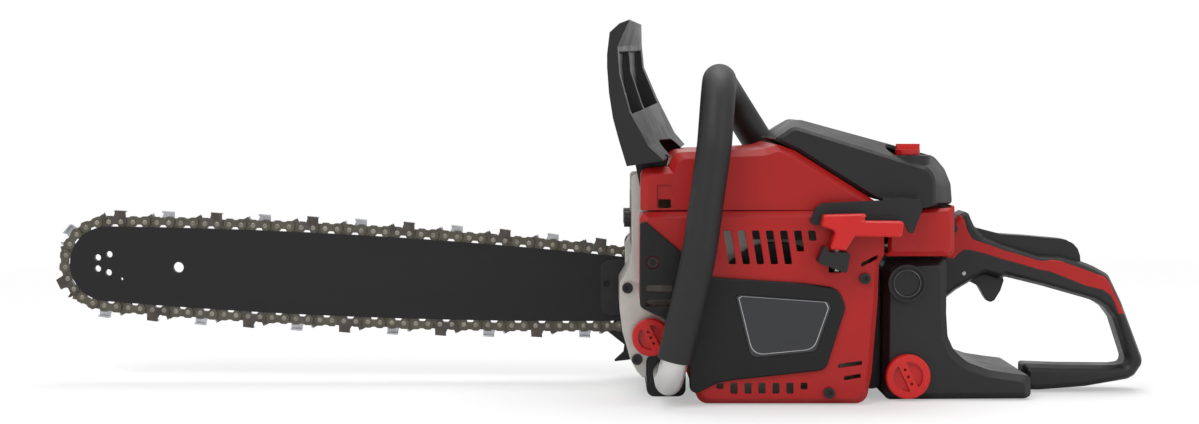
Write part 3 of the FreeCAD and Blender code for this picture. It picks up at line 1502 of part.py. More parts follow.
def build_cover_knob():
    """Red quarter-turn knob with a finger bar, in the filter cover's well."""
    seat = size("filter_cover_z") + size("knob_boss_foot") + size("knob_boss_height")
    knob = new_body("cover_knob", size("knob_x"), size("knob_y"), seat + size("fit_gap"))
    disc = new_sketch(knob, "XY_Plane")
    draw_circle(disc, 0, 0, "knob_radius")
    pad(knob, disc, "sizes.knob_disc")
    bar = new_sketch(knob, "XY_Plane", size("knob_disc"))
    half_length = size("knob_radius") * KNOB_BAR_SHARE
    half_width = size("knob_bar_width") / 2
    draw(bar, box_outline(-half_length, -half_width, half_length, half_width,
                          half_width * SLOT_CORNER_SHARE))
    pad(knob, bar, "sizes.knob_bar_height")
    stem = new_sketch(knob, "XY_Plane")
    draw_circle(stem, 0, 0, "knob_stem_radius")
    pad(knob, stem, "sizes.knob_stem_length", other_way=True)


def build_air_box():
    """Red box behind the cylinder that holds the carburettor."""
    body = new_body("air_box", size("air_box_x"), size("air_box_y"), size("air_box_z"))
    width, edge = size("air_box_width"), size("air_box_edge")
    form = (AIR_BOX_SHARES, size("air_box_length"), size("air_box_height"), size("air_box_corner"))
    moulded_shell(body, *form, (0, -edge, edge - width, -width), (edge, 0, 0, edge))
    wall = size("cover_wall")
    room = draw(new_sketch(body, "XZ_Plane", -wall),
                box_outline(-size("overrun"), wall, size("air_box_length") - wall,
                            size("air_box_height") + size("overrun"), 0))
    pocket(body, room, "sizes.air_box_width - 2 * sizes.cover_wall")
    rod_way = new_sketch(body, "YZ_Plane", size("air_box_length") - 2 * wall)
    draw_circle(rod_way, size("rod_y") - size("air_box_y"), size("rod_z") - size("air_box_z"),
                "rod_way_radius")
    draw_circle(rod_way, size("choke_y") - size("air_box_y"), size("choke_z") - size("air_box_z"),
                "choke_way")
    pocket(body, rod_way, "3 * sizes.cover_wall", other_way=True)


def build_engine_top():
    """Finned cylinder, muffler, carburettor, filter and ignition."""
    fins = []
    seat = size("case_top_z")
    reach = size("cylinder_fin_reach")
    barrel = Part.makeCylinder(size("cylinder_radius"), size("cylinder_height"), V(0, 0, seat))
    for number in range(int(size("fin_count"))):
        level = seat + size("fin_first") + number * size("fin_step")
        trim = FIN_TRIM_SHARE * abs(number - size("fin_count") / 2) / size("fin_count")
        half = reach * (1 - trim)
        fins.append(block(-half, -half, level, half, half, level + size("fin_thickness")))
    plug = rod(size("plug_radius") + size("running_fit"), size("cylinder_height"), 0, 0,
               seat + size("cylinder_height") - size("plug_seat"), V(0, 0, 1))
    cylinder = barrel.multiFuse(fins).cut(plug)
    group("cylinder", [cylinder])
    spark = Part.makeCylinder(size("plug_radius"), size("plug_length"),
                              V(0, 0, seat + size("cylinder_height") - size("plug_seat")))
    group("spark_plug", [spark])
    boot = Part.makeCylinder(size("boot_radius"), size("boot_length"),
                             V(0, 0, seat + size("cylinder_height") + size("fit_gap")))
    way = Part.makeCylinder(size("plug_radius") + size("running_fit"), size("plug_length"),
                            V(0, 0, seat + size("cylinder_height") - size("plug_seat")))
    group("plug_boot", [boot.cut(way)])


def build_muffler():
    """Pressed steel box bolted to the cylinder's front, with its outlet and bolt heads."""
    body = new_body("muffler", size("muffler_x"), 0, size("muffler_z"))
    outline = box_outline(0, 0, size("muffler_length"), size("muffler_height"), size("muffler_corner"))
    box = pad(body, draw(new_sketch(body), outline), "sizes.muffler_width", middle=True)
    soften(body, box, 1, -size("muffler_width") / 2, "sizes.muffler_edge", "Chamfer")
    outlet = new_sketch(body, "YZ_Plane", -size("overrun"))
    draw(outlet, box_outline(size("outlet_y"), size("outlet_z"), size("outlet_y") + size("outlet_width"),
                             size("outlet_z") + size("outlet_height"), size("cover_wall")))
    pocket(body, outlet, "2 * sizes.overrun", other_way=True)
    for side in (1, -1):
        screws.append(rod(size("muffler_bolt_radius"), size("muffler_bolt_height"), size("muffler_x"),
                         side * size("muffler_bolt_y"), size("muffler_bolt_z"), V(-1, 0, 0)))


FILTER_OPEN_EDGES = (5, 6)
KNOB_BAR_SHARE = 0.95
FIN_TRIM_SHARE = 0.3
TOP_SHARES = [
    (0.0, 0.0, 0), (0.0, 0.638, 0.8), (0.12, 0.66, 0), (0.15, 0.875, 0.9), (0.5, 0.925, 0),
    (0.53, 0.935, 0), (0.585, 1.0, 0.8), (0.66, 0.9, 0), (0.86, 0.455, 0), (1.0, 0.14, 0),
    (1.0, 0.0, 0)]
FILTER_COVER_SHARES = [
    (0.017, 0.824, 0.2), (0.153, 0.989, 0.8), (0.898, 0.674, 1), (0.957, 0.566, 1), (0.991, 0.44, 1),
    (1.0, 0.271, 0.3), (0.788, 0.243, 0.2), (0.54, 0.328, 0.2), (0.137, 0.722, 0.6)]
FILTER_SIDE_SHARES = [
    (0.0, 0.819, 0.2), (0.114, 0.934, 0.8), (0.843, 0.586, 1), (0.873, 0.52, 1), (0.879, 0.44, 1),
    (0.88, 0.271, 0.3), (0.788, 0.243, 0.2), (0.54, 0.328, 0.2), (0.137, 0.722, 0.6)]
FILTER_ARM_SHARES = [
    (0.183, 0.12), (0.222, 0.264), (0.26, 0.299), (0.558, 0.32), (0.791, 0.299), (0.791, 0.243),
    (0.733, 0.0), (0.699, 0.134), (0.302, 0.154), (0.274, 0.119)]
FILTER_BRIDGE_SHARES = [(0.579, 0.243), (0.786, 0.243), (0.786, 0.33), (0.579, 0.341)]
AIR_BOX_SHARES = [(0.0, 0.92, 0.2), (1.0, 1.0, 0.3), (1.0, 0.0, 0.8), (0.0, 0.0, 0.3)]

build_top_cover()
build_filter_cover()
build_cover_knob()
build_air_box()
build_engine_top()
build_muffler()


# Fuel tank, rear handle, its red insert, trigger, lock and switches

def build_fuel_tank():
    """Moulded tank with a narrower core under the engine and a stub for the handle's rail."""
    body = new_body("fuel_tank", size("tank_x"), size("tank_y"), 0)
    width, edge, wall = size("tank_width"), size("tank_edge"), size("tank_wall")
    form = (TANK_SHARES, size("tank_length"), size("tank_height"), size("tank_corner"))
    moulded_shell(body, *form, (0, -edge, edge - width, -width), (edge, 0, 0, edge))
    middle = size("tank_y") + size("tank_width") / 2
    lift = size("tank_y") - middle
    core = new_sketch(body, "XZ_Plane", lift)
    draw(core, box_outline(size("tank_core_x") - size("tank_x"), size("tank_core_z"), wall,
                           size("tank_core_top"), size("tank_corner")))
    pad(body, core, "2 * sizes.tank_core_half", middle=True)
    rail = new_sketch(body, "XZ_Plane", size("tank_y"))
    draw(rail, box_outline(size("rail_start_x") - size("tank_x"), size("rail_bottom_z"),
                           size("rail_end_x") - size("tank_x"), size("rail_top_z"), wall))
    pad(body, rail, "2 * sizes.rail_half", middle=True)
    moulded_shell(body, *form, (-wall, -edge, edge - width, wall - width),
                  (wall + edge, wall, wall, wall + edge), kind="SubtractiveLoft")
    boss = new_sketch(body, "XZ_Plane", wall - size("tank_width"))
    draw_circle(boss, size("tube_7_x") - size("tank_x"), size("tube_7_z"), "boss_radius")
    pad(body, boss,
        "sizes.tube_7_y - sizes.tube_radius - sizes.tank_y - sizes.tank_width + sizes.tank_wall",
        other_way=True)
    neck = new_sketch(body)
    draw_circle(neck, size("fuel_cap_x") - size("tank_x"), size("fuel_cap_z"), "fuel_neck_radius")
    pocket(body, neck, "sizes.tank_edge + sizes.overrun")


def build_cap(name, x, y, z, radius, neck, turn):
    """Screw cap: a disc with a sunk grip bar across it and a plug below."""
    cap = turned(name, [(0, -size("cap_plug_length")), (neck - size("fit_gap"), -size("cap_plug_length")),
                        (neck - size("fit_gap"), size("fit_gap")), (radius, size("fit_gap")),
                        (radius, size("cap_height") - size("panel_edge")),
                        (radius - size("panel_edge"), size("cap_height")), (0, size("cap_height"))],
                 x, y, z, FreeCAD.Rotation(V(1, 0, 0), QUARTER_TURN))
    inner = radius * CAP_ROOM_SHARE
    half = size("cap_bar_width") / 2
    recess = new_sketch(cap, "XY_Plane", size("cap_height"))
    foot = half + size("panel_edge")
    reach = math.sqrt(inner * inner - foot * foot)
    for side in (1, -1):
        start, end = V(-reach, side * foot, 0), V(reach, side * foot, 0)
        line, arc = Part.LineSegment(start, end), Part.Arc(end, V(0, side * inner, 0), start)
        for segment in (line, arc):
            segment.rotate(FreeCAD.Placement(V(), V(0, 0, 1), turn))
        draw(recess, [line, arc])
    for share in CAP_SLOT_SHARES:
        slot = box_outline(share * reach - size("cap_slot_half"), -size("cap_slot_half"),
                           share * reach + size("cap_slot_half"), size("cap_slot_half"))
        for segment in slot:
            segment.rotate(FreeCAD.Placement(V(), V(0, 0, 1), turn))
        draw(recess, slot)
    pocket(cap, recess, "sizes.cap_bar_recess")


def build_plug_cap():
    """Round cap in the tank's side with a raised ring."""
    low = size("plug_cap_height") - size("plug_cap_recess")
    turned("mount_cap", [(0, size("fit_gap")), (size("plug_cap_radius"), size("fit_gap")),
                         (size("plug_cap_radius"), size("plug_cap_height")),
                         (size("plug_cap_ring"), size("plug_cap_height")), (size("plug_cap_ring"), low),
                         (0, low)],
           size("plug_cap_x"), size("tank_y") + size("fit_gap"), size("plug_cap_z"),
           FreeCAD.Rotation(V(1, 0, 0), QUARTER_TURN))


def stripe_outline():
    """Side outline of the red insert."""
    corners = shared_corners(STRIPE_SHARES, size("loop_length"), size("loop_height"))
    shift = V(size("loop_x"), size("loop_z"), 0)
    return rounded_segments([corner + shift for corner in corners], [0] * len(corners))


def build_rear_handle():
    """Closed grip behind the tank, with the front post, slots and a recess for the insert."""
    body = new_body("rear_handle")
    half, bevel, band = size("handle_half"), size("handle_bevel"), size("handle_band")
    shift = V(size("loop_x"), size("loop_z"), 0)
    form = (LOOP_SHARES, size("loop_length"), size("loop_height"), size("handle_corner"))
    lifts = (half, half - band / 2, half - bevel - band, bevel + band - half, band / 2 - half, -half)
    bevels = (bevel, bevel / 2, 0, 0, bevel / 2, bevel)
    placed_shell(body, form, lifts, bevels, shift)
    form = (POST_SHARES, size("loop_length"), size("loop_height"), size("cover_wall"))
    edge = size("post_bevel")
    placed_shell(body, form, (half, half - edge, edge - half, -half), (edge, 0, 0, edge), shift)
    slot = new_sketch(body)
    draw(slot, framed_outline(TRIGGER_SLOT_SHARES, "grip"))
    pocket(body, slot, "2 * sizes.trigger_slot_half", middle=True)
    well = new_sketch(body)
    draw(well, framed_outline(LOCK_SLOT_SHARES, "grip"))
    pocket(body, well, "2 * sizes.lock_slot_half", middle=True)
    for alias in ("trigger", "lock"):
        hole = new_sketch(body)
        draw_circle(hole, size(alias + "_x"), size(alias + "_z"), "trigger_pin_radius")
        pocket(body, hole, "2 * sizes.%s_pin_half" % alias, middle=True)
    shaft = new_sketch(body, "XZ_Plane", half)
    draw_circle(shaft, size("stop_x"), size("stop_z"), "stop_shaft")
    pocket(body, shaft, "sizes.stop_depth + sizes.fit_gap")
    left_over = body.Shape.copy()
    for side in (1, -1):
        recess = new_sketch(body, "XZ_Plane", side * (half + size("overrun")))
        draw(recess, stripe_outline())
        pocket(body, recess, "sizes.stripe_depth + sizes.overrun", other_way=side < 0)
    sides = []
    for start in (-half, half - size("stripe_depth")):
        prism = solid_prism(stripe_outline(), size("stripe_depth"))
        prism.translate(V(0, start, 0))
        sides.extend(left_over.common(prism).Solids)
    group("handle_insert", sides)


def placed_shell(body, form, lifts, bevels, shift):
    """A moulded shell whose outline is moved within the body's frame."""
    outlines = []
    for lift, bevel in zip(lifts, bevels):
        outline = inset_outline(*form, bevel)
        for segment in outline:
            segment.translate(shift)
        outlines.append((lift, outline))
    return loft(body, "AdditiveLoft", outlines)


def build_trigger_and_lock():
    """Throttle trigger, the lock paddle above it and their pins."""
    for name, shares, alias, eye in (("throttle_trigger", TRIGGER_SHARES, "trigger", "trigger_eye"),
                                     ("throttle_lock", LOCK_SHARES, "lock", "lock_ear")):
        body = new_body(name)
        width = "2 * sizes.%s_half" % alias
        x, z = size(alias + "_x"), size(alias + "_z")
        plate = new_sketch(body)
        draw(plate, framed_outline(shares, "grip", size("trigger_pin_radius")))
        pad(body, plate, width, middle=True)
        ear = new_sketch(body)
        draw_circle(ear, x, z, eye)
        pad(body, ear, width, middle=True)
        way = new_sketch(body)
        draw_circle(way, x, z, "pin_way")
        pocket(body, way, width + " + sizes.overrun", middle=True)
        half = size(alias + "_pin_half")
        hinge_pins.append(rod(size("trigger_pin_radius"), 2 * half, x, -half, z))


def draw_circle_sketch(body, radius_alias):
    """A new sketch with one circle on the body's own axis."""
    sketch = new_sketch(body)
    draw_circle(sketch, 0, 0, radius_alias)
    return sketch


def build_switches():
    """Stop switch beside the handle's post and the choke knob at the air box."""
    switch = new_body("stop_switch", size("stop_x"), -size("handle_half") - size("fit_gap"), size("stop_z"))
    disc = draw_circle_sketch(switch, "stop_radius")
    pad(switch, disc, "sizes.stop_width")
    lever = new_sketch(switch)
    half = size("stop_shaft") * SLOT_HALF
    draw(lever, box_outline(-half, 0, half, size("stop_reach"), half * SLOT_HALF))
    pad(switch, lever, "sizes.stop_width")
    shaft = draw_circle_sketch(switch, "stop_stub")
    pad(switch, shaft, "sizes.stop_depth", other_way=True)
    wall_x = size("air_box_x") + size("air_box_length")
    reach = wall_x + size("fit_gap") - size("choke_rod_start")
    turned("choke_knob", [
        (0, 0), (size("choke_rod_radius"), 0), (size("choke_rod_radius"), reach),
        (size("choke_knob_radius"), reach), (size("choke_knob_radius"), reach + size("choke_knob_depth")),
        (0, reach + size("choke_knob_depth"))],
        size("choke_rod_start"), size("choke_y"), size("choke_z"),
        FreeCAD.Rotation(V(0, 1, 0), QUARTER_TURN))


def build_intake():
    """Carburettor with its lever and rod, intake boot, filter and ignition coil."""
    carb = block(size("carb_x"), size("carb_y"), size("carb_z"), size("carb_x") + size("carb_length"),
                 size("carb_y") + size("carb_width"), size("carb_z") + size("carb_height"))
    middle_y = size("carb_y") + size("carb_width") / 2
    throat = rod(size("throat_radius"), size("carb_length") + size("overrun"), size("carb_x"), middle_y,
                 size("throat_z"), V(1, 0, 0))
    across = rod(size("lever_shaft_radius") + size("running_fit"), size("carb_width") + size("overrun"),
                 size("lever_x"), size("carb_y"), size("lever_z"))
    group("carburettor", [carb.cut(throat).cut(across)])
    shaft = rod(size("lever_shaft_radius"), size("carb_width") + size("lever_thickness"), size("lever_x"),
                size("carb_y"), size("lever_z"))
    arm = block(size("lever_x") - size("lever_width") / 2,
                size("carb_y") + size("carb_width") + size("fit_gap"),
                size("lever_z") - size("lever_reach"), size("lever_x") + size("lever_width") / 2,
                size("carb_y") + size("carb_width") + size("fit_gap") + size("lever_thickness"),
                size("lever_z") + size("lever_width") / 2)
    group("throttle_lever", [shaft.fuse(arm)])
    boot_length = size("carb_x") - size("boot_start_x")
    start = (size("boot_start_x"), middle_y, size("throat_z"))
    boot = rod(size("boot_outer"), boot_length, *start, V(1, 0, 0))
    way = rod(size("throat_radius"), boot_length, *start, V(1, 0, 0))
    group("intake_boot", [boot.cut(way)])
    filt = block(size("filter_x"), size("filter_y"), size("filter_z"),
                 size("filter_x") + size("filter_length"),
                 size("filter_y") + size("filter_width"), size("filter_z") + size("filter_height"))
    neck = rod(size("filter_neck"), size("filter_z") - size("carb_z") - size("carb_height"),
               size("carb_x") + size("filter_neck") + size("panel_edge"), middle_y,
               size("carb_z") + size("carb_height"), V(0, 0, 1))
    group("air_filter", [filt.fuse(neck)])
    half = size("coil_half")
    coil = block(-half, size("fan_wall_y") - size("coil_depth"), size("coil_z"), half, size("fan_wall_y"),
                 size("coil_z") + size("coil_height"))
    group("ignition_coil", [coil])
    mounts = []
    for share_y, share_z in MOUNT_SHARES:
        y, z = share_y * 2 * size("mount_half"), share_z * size("tank_height")
        length = size("tank_core_x") - case_end_x()
        mounts.append(rod(size("mount_radius"), length, case_end_x(), y, z, V(1, 0, 0)))
    group("vibration_mounts", mounts)


def case_end_x():
    """Rear face of the castings."""
    return size("case_front_x") + size("case_length")


CAP_SLOT_SHARES = (-0.55, 0, 0.55)
CAP_ROOM_SHARE = 0.66
CAP_TURN = -64
SLOT_HALF = 0.9
TANK_SHARES = [
    (0.018, 0, 0.6), (0.964, 0.006, 0.6), (1.004, 0.024, 0.4), (1.004, 0.167, 0.4), (0.864, 0.185, 1),
    (0.724, 0.207, 2), (0.573, 0.263, 2), (0.482, 0.346, 2), (0.44, 0.445, 1), (0.429, 0.606, 0.5),
    (0.429, 1, 0.5), (0, 0.973, 0.5), (0, 0.099, 0.6)]
LOOP_SHARES = [
    (0.0, 0.98, 0.2), (0.2, 1.13, 0.5), (0.318, 1.059, 2), (0.501, 0.979, 2), (0.603, 0.973, 2),
    (0.701, 0.931, 1), (0.763, 0.893, 1), (0.836, 0.834, 1.2), (0.901, 0.635, 1), (1.007, 0.228, 1.2),
    (1.007, 0.185, 1), (0.97, 0.104, 1), (0.938, 0.078, 1), (0.726, 0.024, 2), (0.508, 0.0, 1),
    (0.424, 0.0, 0.3), (0.424, 0.19, 0.3), (0.606, 0.18, 2), (0.864, 0.177, 1), (0.914, 0.187, 1),
    (0.924, 0.229, 1), (0.86, 0.516, 1), (0.82, 0.595, 1), (0.77, 0.641, 1), (0.726, 0.662, 1),
    (0.508, 0.753, 2), (0.329, 0.818, 1), (0.309, 0.8, 0.6), (0.225, 0.836, 1), (0.158, 0.78, 1.2),
    (0.093, 0.722, 1), (0.04, 0.66, 1), (0.0, 0.655, 0.2)]
POST_SHARES = [
    (0.0, 0.9, 0.3), (0.03, 1.0, 0.3), (0.06, 1.2, 0.6), (0.101, 1.266, 0.6), (0.13, 1.288, 0.4),
    (0.147, 1.272, 0.4), (0.157, 1.234, 0.6), (0.172, 1.187, 0.8), (0.215, 1.12, 0.8),
    (0.25, 0.94, 0.3)]
STRIPE_SHARES = [
    (0.095, 1.4), (0.04, 1.4), (0.0, 1.0), (0.027, 0.963), (0.073, 0.952), (0.098, 0.99),
    (0.12, 1.016), (0.149, 1.016), (0.222, 0.99), (0.316, 0.947), (0.396, 0.915), (0.497, 0.872),
    (0.54, 0.862), (0.606, 0.824), (0.714, 0.76), (0.801, 0.728), (0.841, 0.685), (0.859, 0.632),
    (0.878, 0.557), (0.921, 0.552), (0.914, 0.589), (0.897, 0.6), (0.859, 0.696), (0.834, 0.781),
    (0.809, 0.824), (0.772, 0.84), (0.685, 0.888), (0.591, 0.936), (0.548, 0.944), (0.519, 0.936),
    (0.49, 0.938), (0.396, 0.979), (0.309, 1.016), (0.229, 1.059), (0.164, 1.091), (0.138, 1.155),
    (0.124, 1.23), (0.106, 1.264)]
TRIGGER_SLOT_SHARES = [(0.0, 0.0), (0.46, 0.0), (0.46, 0.633), (0.0, 0.633)]
LOCK_SLOT_SHARES = [
    (0.12, 1.3), (0.12, 0.667), (0.2, 0.608), (0.3, 0.592), (0.57, 0.483), (0.99, 0.318), (0.99, 1.3)]
TRIGGER_SHARES = [
    (0.024, 0.443), (0.116, 0.289), (0.178, 0.237), (0.224, 0.099), (0.248, 0.044), (0.275, 0.028),
    (0.304, 0.051), (0.349, 0.175), (0.374, 0.308), (0.34, 0.468), (0.149, 0.545), (0.06, 0.493)]
LOCK_SHARES = [
    (0.15, 0.985), (0.228, 0.949), (0.341, 0.901), (0.535, 0.88), (0.774, 0.844), (0.836, 0.831),
    (0.893, 0.782), (0.93, 0.712), (0.947, 0.626), (0.955, 0.46), (0.929, 0.445), (0.562, 0.547),
    (0.218, 0.7), (0.15, 0.76)]
MOUNT_SHARES = [(-0.4, 0.85), (0.4, 0.85), (-0.4, 0.16), (0.4, 0.16)]

build_fuel_tank()
build_cap("fuel_cap", size("fuel_cap_x"), size("tank_y"), size("fuel_cap_z"), size("fuel_cap_radius"),
          size("fuel_neck_radius"), CAP_TURN)
build_cap("oil_cap", size("oil_cap_x"), size("fan_wall_y"), size("oil_cap_z"), size("oil_cap_radius"),
          size("oil_neck_radius"), CAP_TURN)
build_plug_cap()
build_rear_handle()
build_trigger_and_lock()
build_switches()
build_intake()


# Front handle, hand guard and the starter's grip

def handle_path():
    """Middle line of the bent tube, from the strut under the casting to the tank's side."""
    corners = [V(size("tube_%d_x" % number), size("tube_%d_y" % number), size("tube_%d_z" % number))
               for number in range(TUBE_CORNERS)]
    radii = [0] + [size("tube_bend") * share for share in TUBE_BEND_SHARES] + [0]
    return rounded_segments(corners, radii, closed=False)


def swept(segments, radius):
    """A round solid swept along joined segments."""
    pieces = []
    for edge in [segment.toShape() for segment in segments]:
        start = edge.valueAt(edge.FirstParameter)
        along = edge.tangentAt(edge.FirstParameter)
        disc = Part.Face(Part.Wire([Part.makeCircle(radius, start, along)]))
        if isinstance(edge.Curve, Part.Circle):
            turn = math.degrees(edge.LastParameter - edge.FirstParameter)
            pieces.append(disc.revolve(edge.Curve.Center, edge.Curve.Axis, turn))
        else:
            pieces.append(disc.extrude(edge.valueAt(edge.LastParameter) - start))
    return pieces[0].multiFuse(pieces[1:])


def build_front_handle():
    """Bent tube, rubber sleeve on it, and the clamp and screws that hold its ends."""
    path = handle_path()
    outer = swept(path, size("tube_radius"))
    group("front_handle_tube", [outer.cut(swept(path, size("tube_radius") - size("tube_wall")))])
    sleeve_path = path[SLEEVE_FIRST:SLEEVE_LAST]
    first = sleeve_path[0]
    start = first.StartPoint + (first.EndPoint - first.StartPoint) * SLEEVE_START_SHARE
    sleeve_path[0] = Part.LineSegment(start, first.EndPoint)
    sleeve = swept(sleeve_path, size("sleeve_radius"))
    group("front_handle_grip", [sleeve.cut(swept(sleeve_path, size("tube_radius")))])
    clamp_half = size("strut_room") / 2 - size("fit_gap")
    outline = box_outline(size("strut_x") - clamp_half, size("clamp_foot"), size("strut_x") + clamp_half,
                          size("strut_room_top"), size("case_corner"))
    clamp = solid_prism(outline, size("clamp_end_y") - size("clamp_start_y"))
    clamp.translate(V(0, size("clamp_start_y"), 0))
    way = rod(size("tube_radius"), size("clamp_end_y") - size("clamp_start_y"), size("strut_x"),
              size("clamp_start_y"), size("tube_0_z"))
    group("handle_clamp", [clamp.cut(way)])


def build_hand_guard():
    """Swept-back hand guard: a plate that leans away on the far side, with two pivot arms."""
    body = new_body("hand_guard")
    near, far = framed_corners(GUARD_NEAR_SHARES, "guard"), framed_corners(GUARD_FAR_SHARES, "guard")
    outlines = [(-size("guard_near_y"), rounded_segments(near, [0] * len(near))),
                (-size("guard_far_y"), rounded_segments(far, [0] * len(far)))]
    loft(body, "AdditiveLoft", outlines)
    for side, shares in ((-1, GUARD_LEFT_ARM_SHARES), (1, GUARD_RIGHT_ARM_SHARES)):
        arm = new_sketch(body, "XZ_Plane", -side * size("guard_arm_y"))
        draw(arm, framed_outline(shares, "guard", size("guard_arm_corner")))
        pad(body, arm, "sizes.guard_arm_width", middle=True)
        hole = new_sketch(body, "XZ_Plane", -side * size("guard_arm_y"))
        draw_circle(hole, size("guard_pivot_x"), size("guard_pivot_z"), "guard_pin_way")
        pocket(body, hole, "sizes.guard_arm_width + sizes.overrun", middle=True)
    arch = new_sketch(body, "YZ_Plane", 0)
    draw(arch, box_outline(-size("guard_arch_near"), size("guard_foot"), size("guard_arch_far"),
                           size("guard_arch_top"), size("guard_arch_corner")))
    pocket(body, arch, "4 * sizes.guard_length", middle=True)
    for start, end in GUARD_POCKET_SHARES:
        rooms = []
        for share in (start, end):
            section = [a + (b - a) * share for a, b in zip(near, far)]
            front = [section[index] + V(size("guard_wall"), 0, 0) for index in GUARD_FRONT_CORNERS]
            rear = [section[index] + V(size("guard_wall") * 2, 0, 0) for index in GUARD_REAR_CORNERS]
            lift = -(size("guard_near_y") + (size("guard_far_y") - size("guard_near_y")) * share)
            rooms.append((lift, rounded_segments(front + rear, [0] * len(front + rear))))
        loft(body, "SubtractiveLoft", rooms)
    for side, wall in ((-1, size("fan_wall_y")), (1, size("clutch_seat_y"))):
        start = wall - side * abs(size("fan_wall_y") - size("case_left_y"))
        length = abs(side * size("guard_arm_y") + side * size("guard_arm_width") / 2 - start)
        hinge_pins.append(rod(size("guard_pin_radius"), length, size("guard_pivot_x"), start,
                              size("guard_pivot_z"), V(0, side, 0)))


def build_starter_grip():
    """T-shaped grip, the free end of the rope and the guide it leaves the cover by."""
    grip = new_body("starter_handle", size("tee_left"), size("rope_y"), size("tee_foot"))
    half, edge = size("tee_half"), size("tee_edge")
    form = (TEE_SHARES, size("tee_length"), size("tee_height"), size("tee_corner"))
    moulded_shell(grip, *form, (half, half - edge, edge - half, -half), (edge, 0, 0, edge))
    foot = TEE_SHARES[ROPE_ENTRY][1] * size("tee_height")
    way = new_sketch(grip, "XY_Plane", foot - size("overrun"))
    draw_circle(way, size("rope_x") - size("tee_left"), 0, "rope_radius")
    pocket(grip, way, "sizes.rope_in_grip + sizes.overrun", other_way=True)
    guide = new_body("rope_guide", 0, size("fan_wall_y") - size("cover_depth"), 0)
    form = framed_outline(ROPE_GUIDE_SHARES, "tee", size("tee_corner"))
    pad(guide, draw(new_sketch(guide), form), "sizes.guide_depth")
    bore = new_sketch(guide, "XY_Plane", size("tee_foot") - size("overrun"))
    draw_circle(bore, size("rope_x"), size("rope_y") - size("fan_wall_y") + size("cover_depth"), "rope_way")
    pocket(guide, bore, "sizes.tee_height", other_way=True)
    rope_length = size("tee_foot") + foot + size("rope_in_grip") - size("rope_foot")
    rope = rod(size("rope_radius"), rope_length, size("rope_x"), size("rope_y"), size("rope_foot"),
               V(0, 0, 1))
    group("starter_rope", [rope])


TUBE_CORNERS = 8
TUBE_BEND_SHARES = [0.4, 6, 1, 1, 1, 2.5]
SLEEVE_FIRST = 2
SLEEVE_LAST = -2
SLEEVE_START_SHARE = 0.06
GUARD_POCKET_SHARES = [(0.05, 0.42), (0.46, 0.93)]
GUARD_FRONT_CORNERS = (2, 3, 4, 5)
GUARD_REAR_CORNERS = (9, 10, 11)
ROPE_ENTRY = 6
GUARD_NEAR_SHARES = [
    (0.222, 0.172), (0.153, 0.301), (0.096, 0.421), (0.06, 0.553), (0.043, 0.685), (0.043, 0.751),
    (0.066, 0.864), (0.153, 0.91), (0.245, 0.93), (0.136, 0.791), (0.153, 0.651), (0.245, 0.454),
    (0.42, 0.274), (0.559, 0.2)]
GUARD_FAR_SHARES = [
    (0.512, 0.214), (0.438, 0.329), (0.362, 0.457), (0.331, 0.586), (0.306, 0.714), (0.303, 0.786),
    (0.319, 0.893), (0.35, 0.935), (0.392, 0.945), (0.397, 0.829), (0.419, 0.703), (0.55, 0.529),
    (0.725, 0.331), (0.825, 0.264)]
GUARD_LEFT_ARM_SHARES = [
    (0.287, 0.229), (0.35, 0.057), (0.4, 0.004), (0.5, 0.004), (0.55, 0.057), (0.619, 0.229)]
GUARD_RIGHT_ARM_SHARES = [
    (0.487, 0.257), (0.35, 0.071), (0.4, 0.004), (0.5, 0.004), (0.575, 0.057), (0.8, 0.257)]
TEE_SHARES = [
    (0.075, 0.933), (0.58, 0.948), (0.502, 0.844), (0.977, 0.835), (0.95, 0.6), (0.42, 0.61),
    (0.325, 0.402), (0.145, 0.417), (0.206, 0.688), (0.048, 0.769)]
ROPE_GUIDE_SHARES = [(0.095, 0.5), (0.135, 0.371), (0.38, 0.371), (0.34, 0.05), (0.005, 0.22)]

build_front_handle()
build_hand_guard()
build_starter_grip()


# Clutch side: drum, hub, brake band, cover, bar clamp, spikes and oil pump

def towards_far(name, profile):
    """A piece turned about the crankshaft's axis, heights measured along +Y."""
    return turned(name, profile, 0, 0, size("crank_z"), FreeCAD.Rotation(V(1, 0, 0), -QUARTER_TURN))


def build_clutch():
    """Drum with the brake band round it, and the hub with its three shoes inside."""
    floor = size("drum_y") + size("drum_wall")
    outer, bore_radius = size("drum_radius"), size("drum_bore_radius")
    rim = size("drum_y") + size("drum_width")
    towards_far("clutch_drum", [
        (bore_radius, size("drum_y")), (outer, size("drum_y")), (outer, rim), (outer - size("drum_wall"),
                                                                               rim),
        (outer - size("drum_wall"), floor), (bore_radius, floor)])
    start = floor + size("fit_gap")
    hub = towards_far("clutch_hub", [
        (size("shaft_radius"), start), (size("shoe_radius"), start), (size("shoe_radius"),
                                                                      rim - size("drum_wall")),
        (size("shaft_radius"), rim - size("drum_wall"))])
    gaps = new_sketch(hub, "XY_Plane", start)
    half = size("drum_wall") / 2
    for number in range(SHOES):
        turn = FreeCAD.Placement(V(), V(0, 0, 1), number * FULL_TURN / SHOES)
        outline = box_outline(size("hub_radius"), -half, size("shoe_radius") + half, half)
        for segment in outline:
            segment.rotate(turn)
        draw(gaps, outline)
    pocket(hub, gaps, "sizes.drum_width", other_way=True)
    ring_inner = outer + size("band_gap")
    ring = towards_far("brake_band", [
        (ring_inner, size("band_start")), (ring_inner + size("band_thickness"), size("band_start")),
        (ring_inner + size("band_thickness"), size("band_end")), (ring_inner, size("band_end"))])
    anchor = new_sketch(ring, "XY_Plane", size("clutch_seat_y"))
    draw(anchor, box_outline(ring_inner + size("band_thickness") / 2, -size("anchor_half"),
                             ring_inner + size("anchor_reach"), size("anchor_half")))
    pad(ring, anchor, "sizes.band_end - sizes.clutch_seat_y")


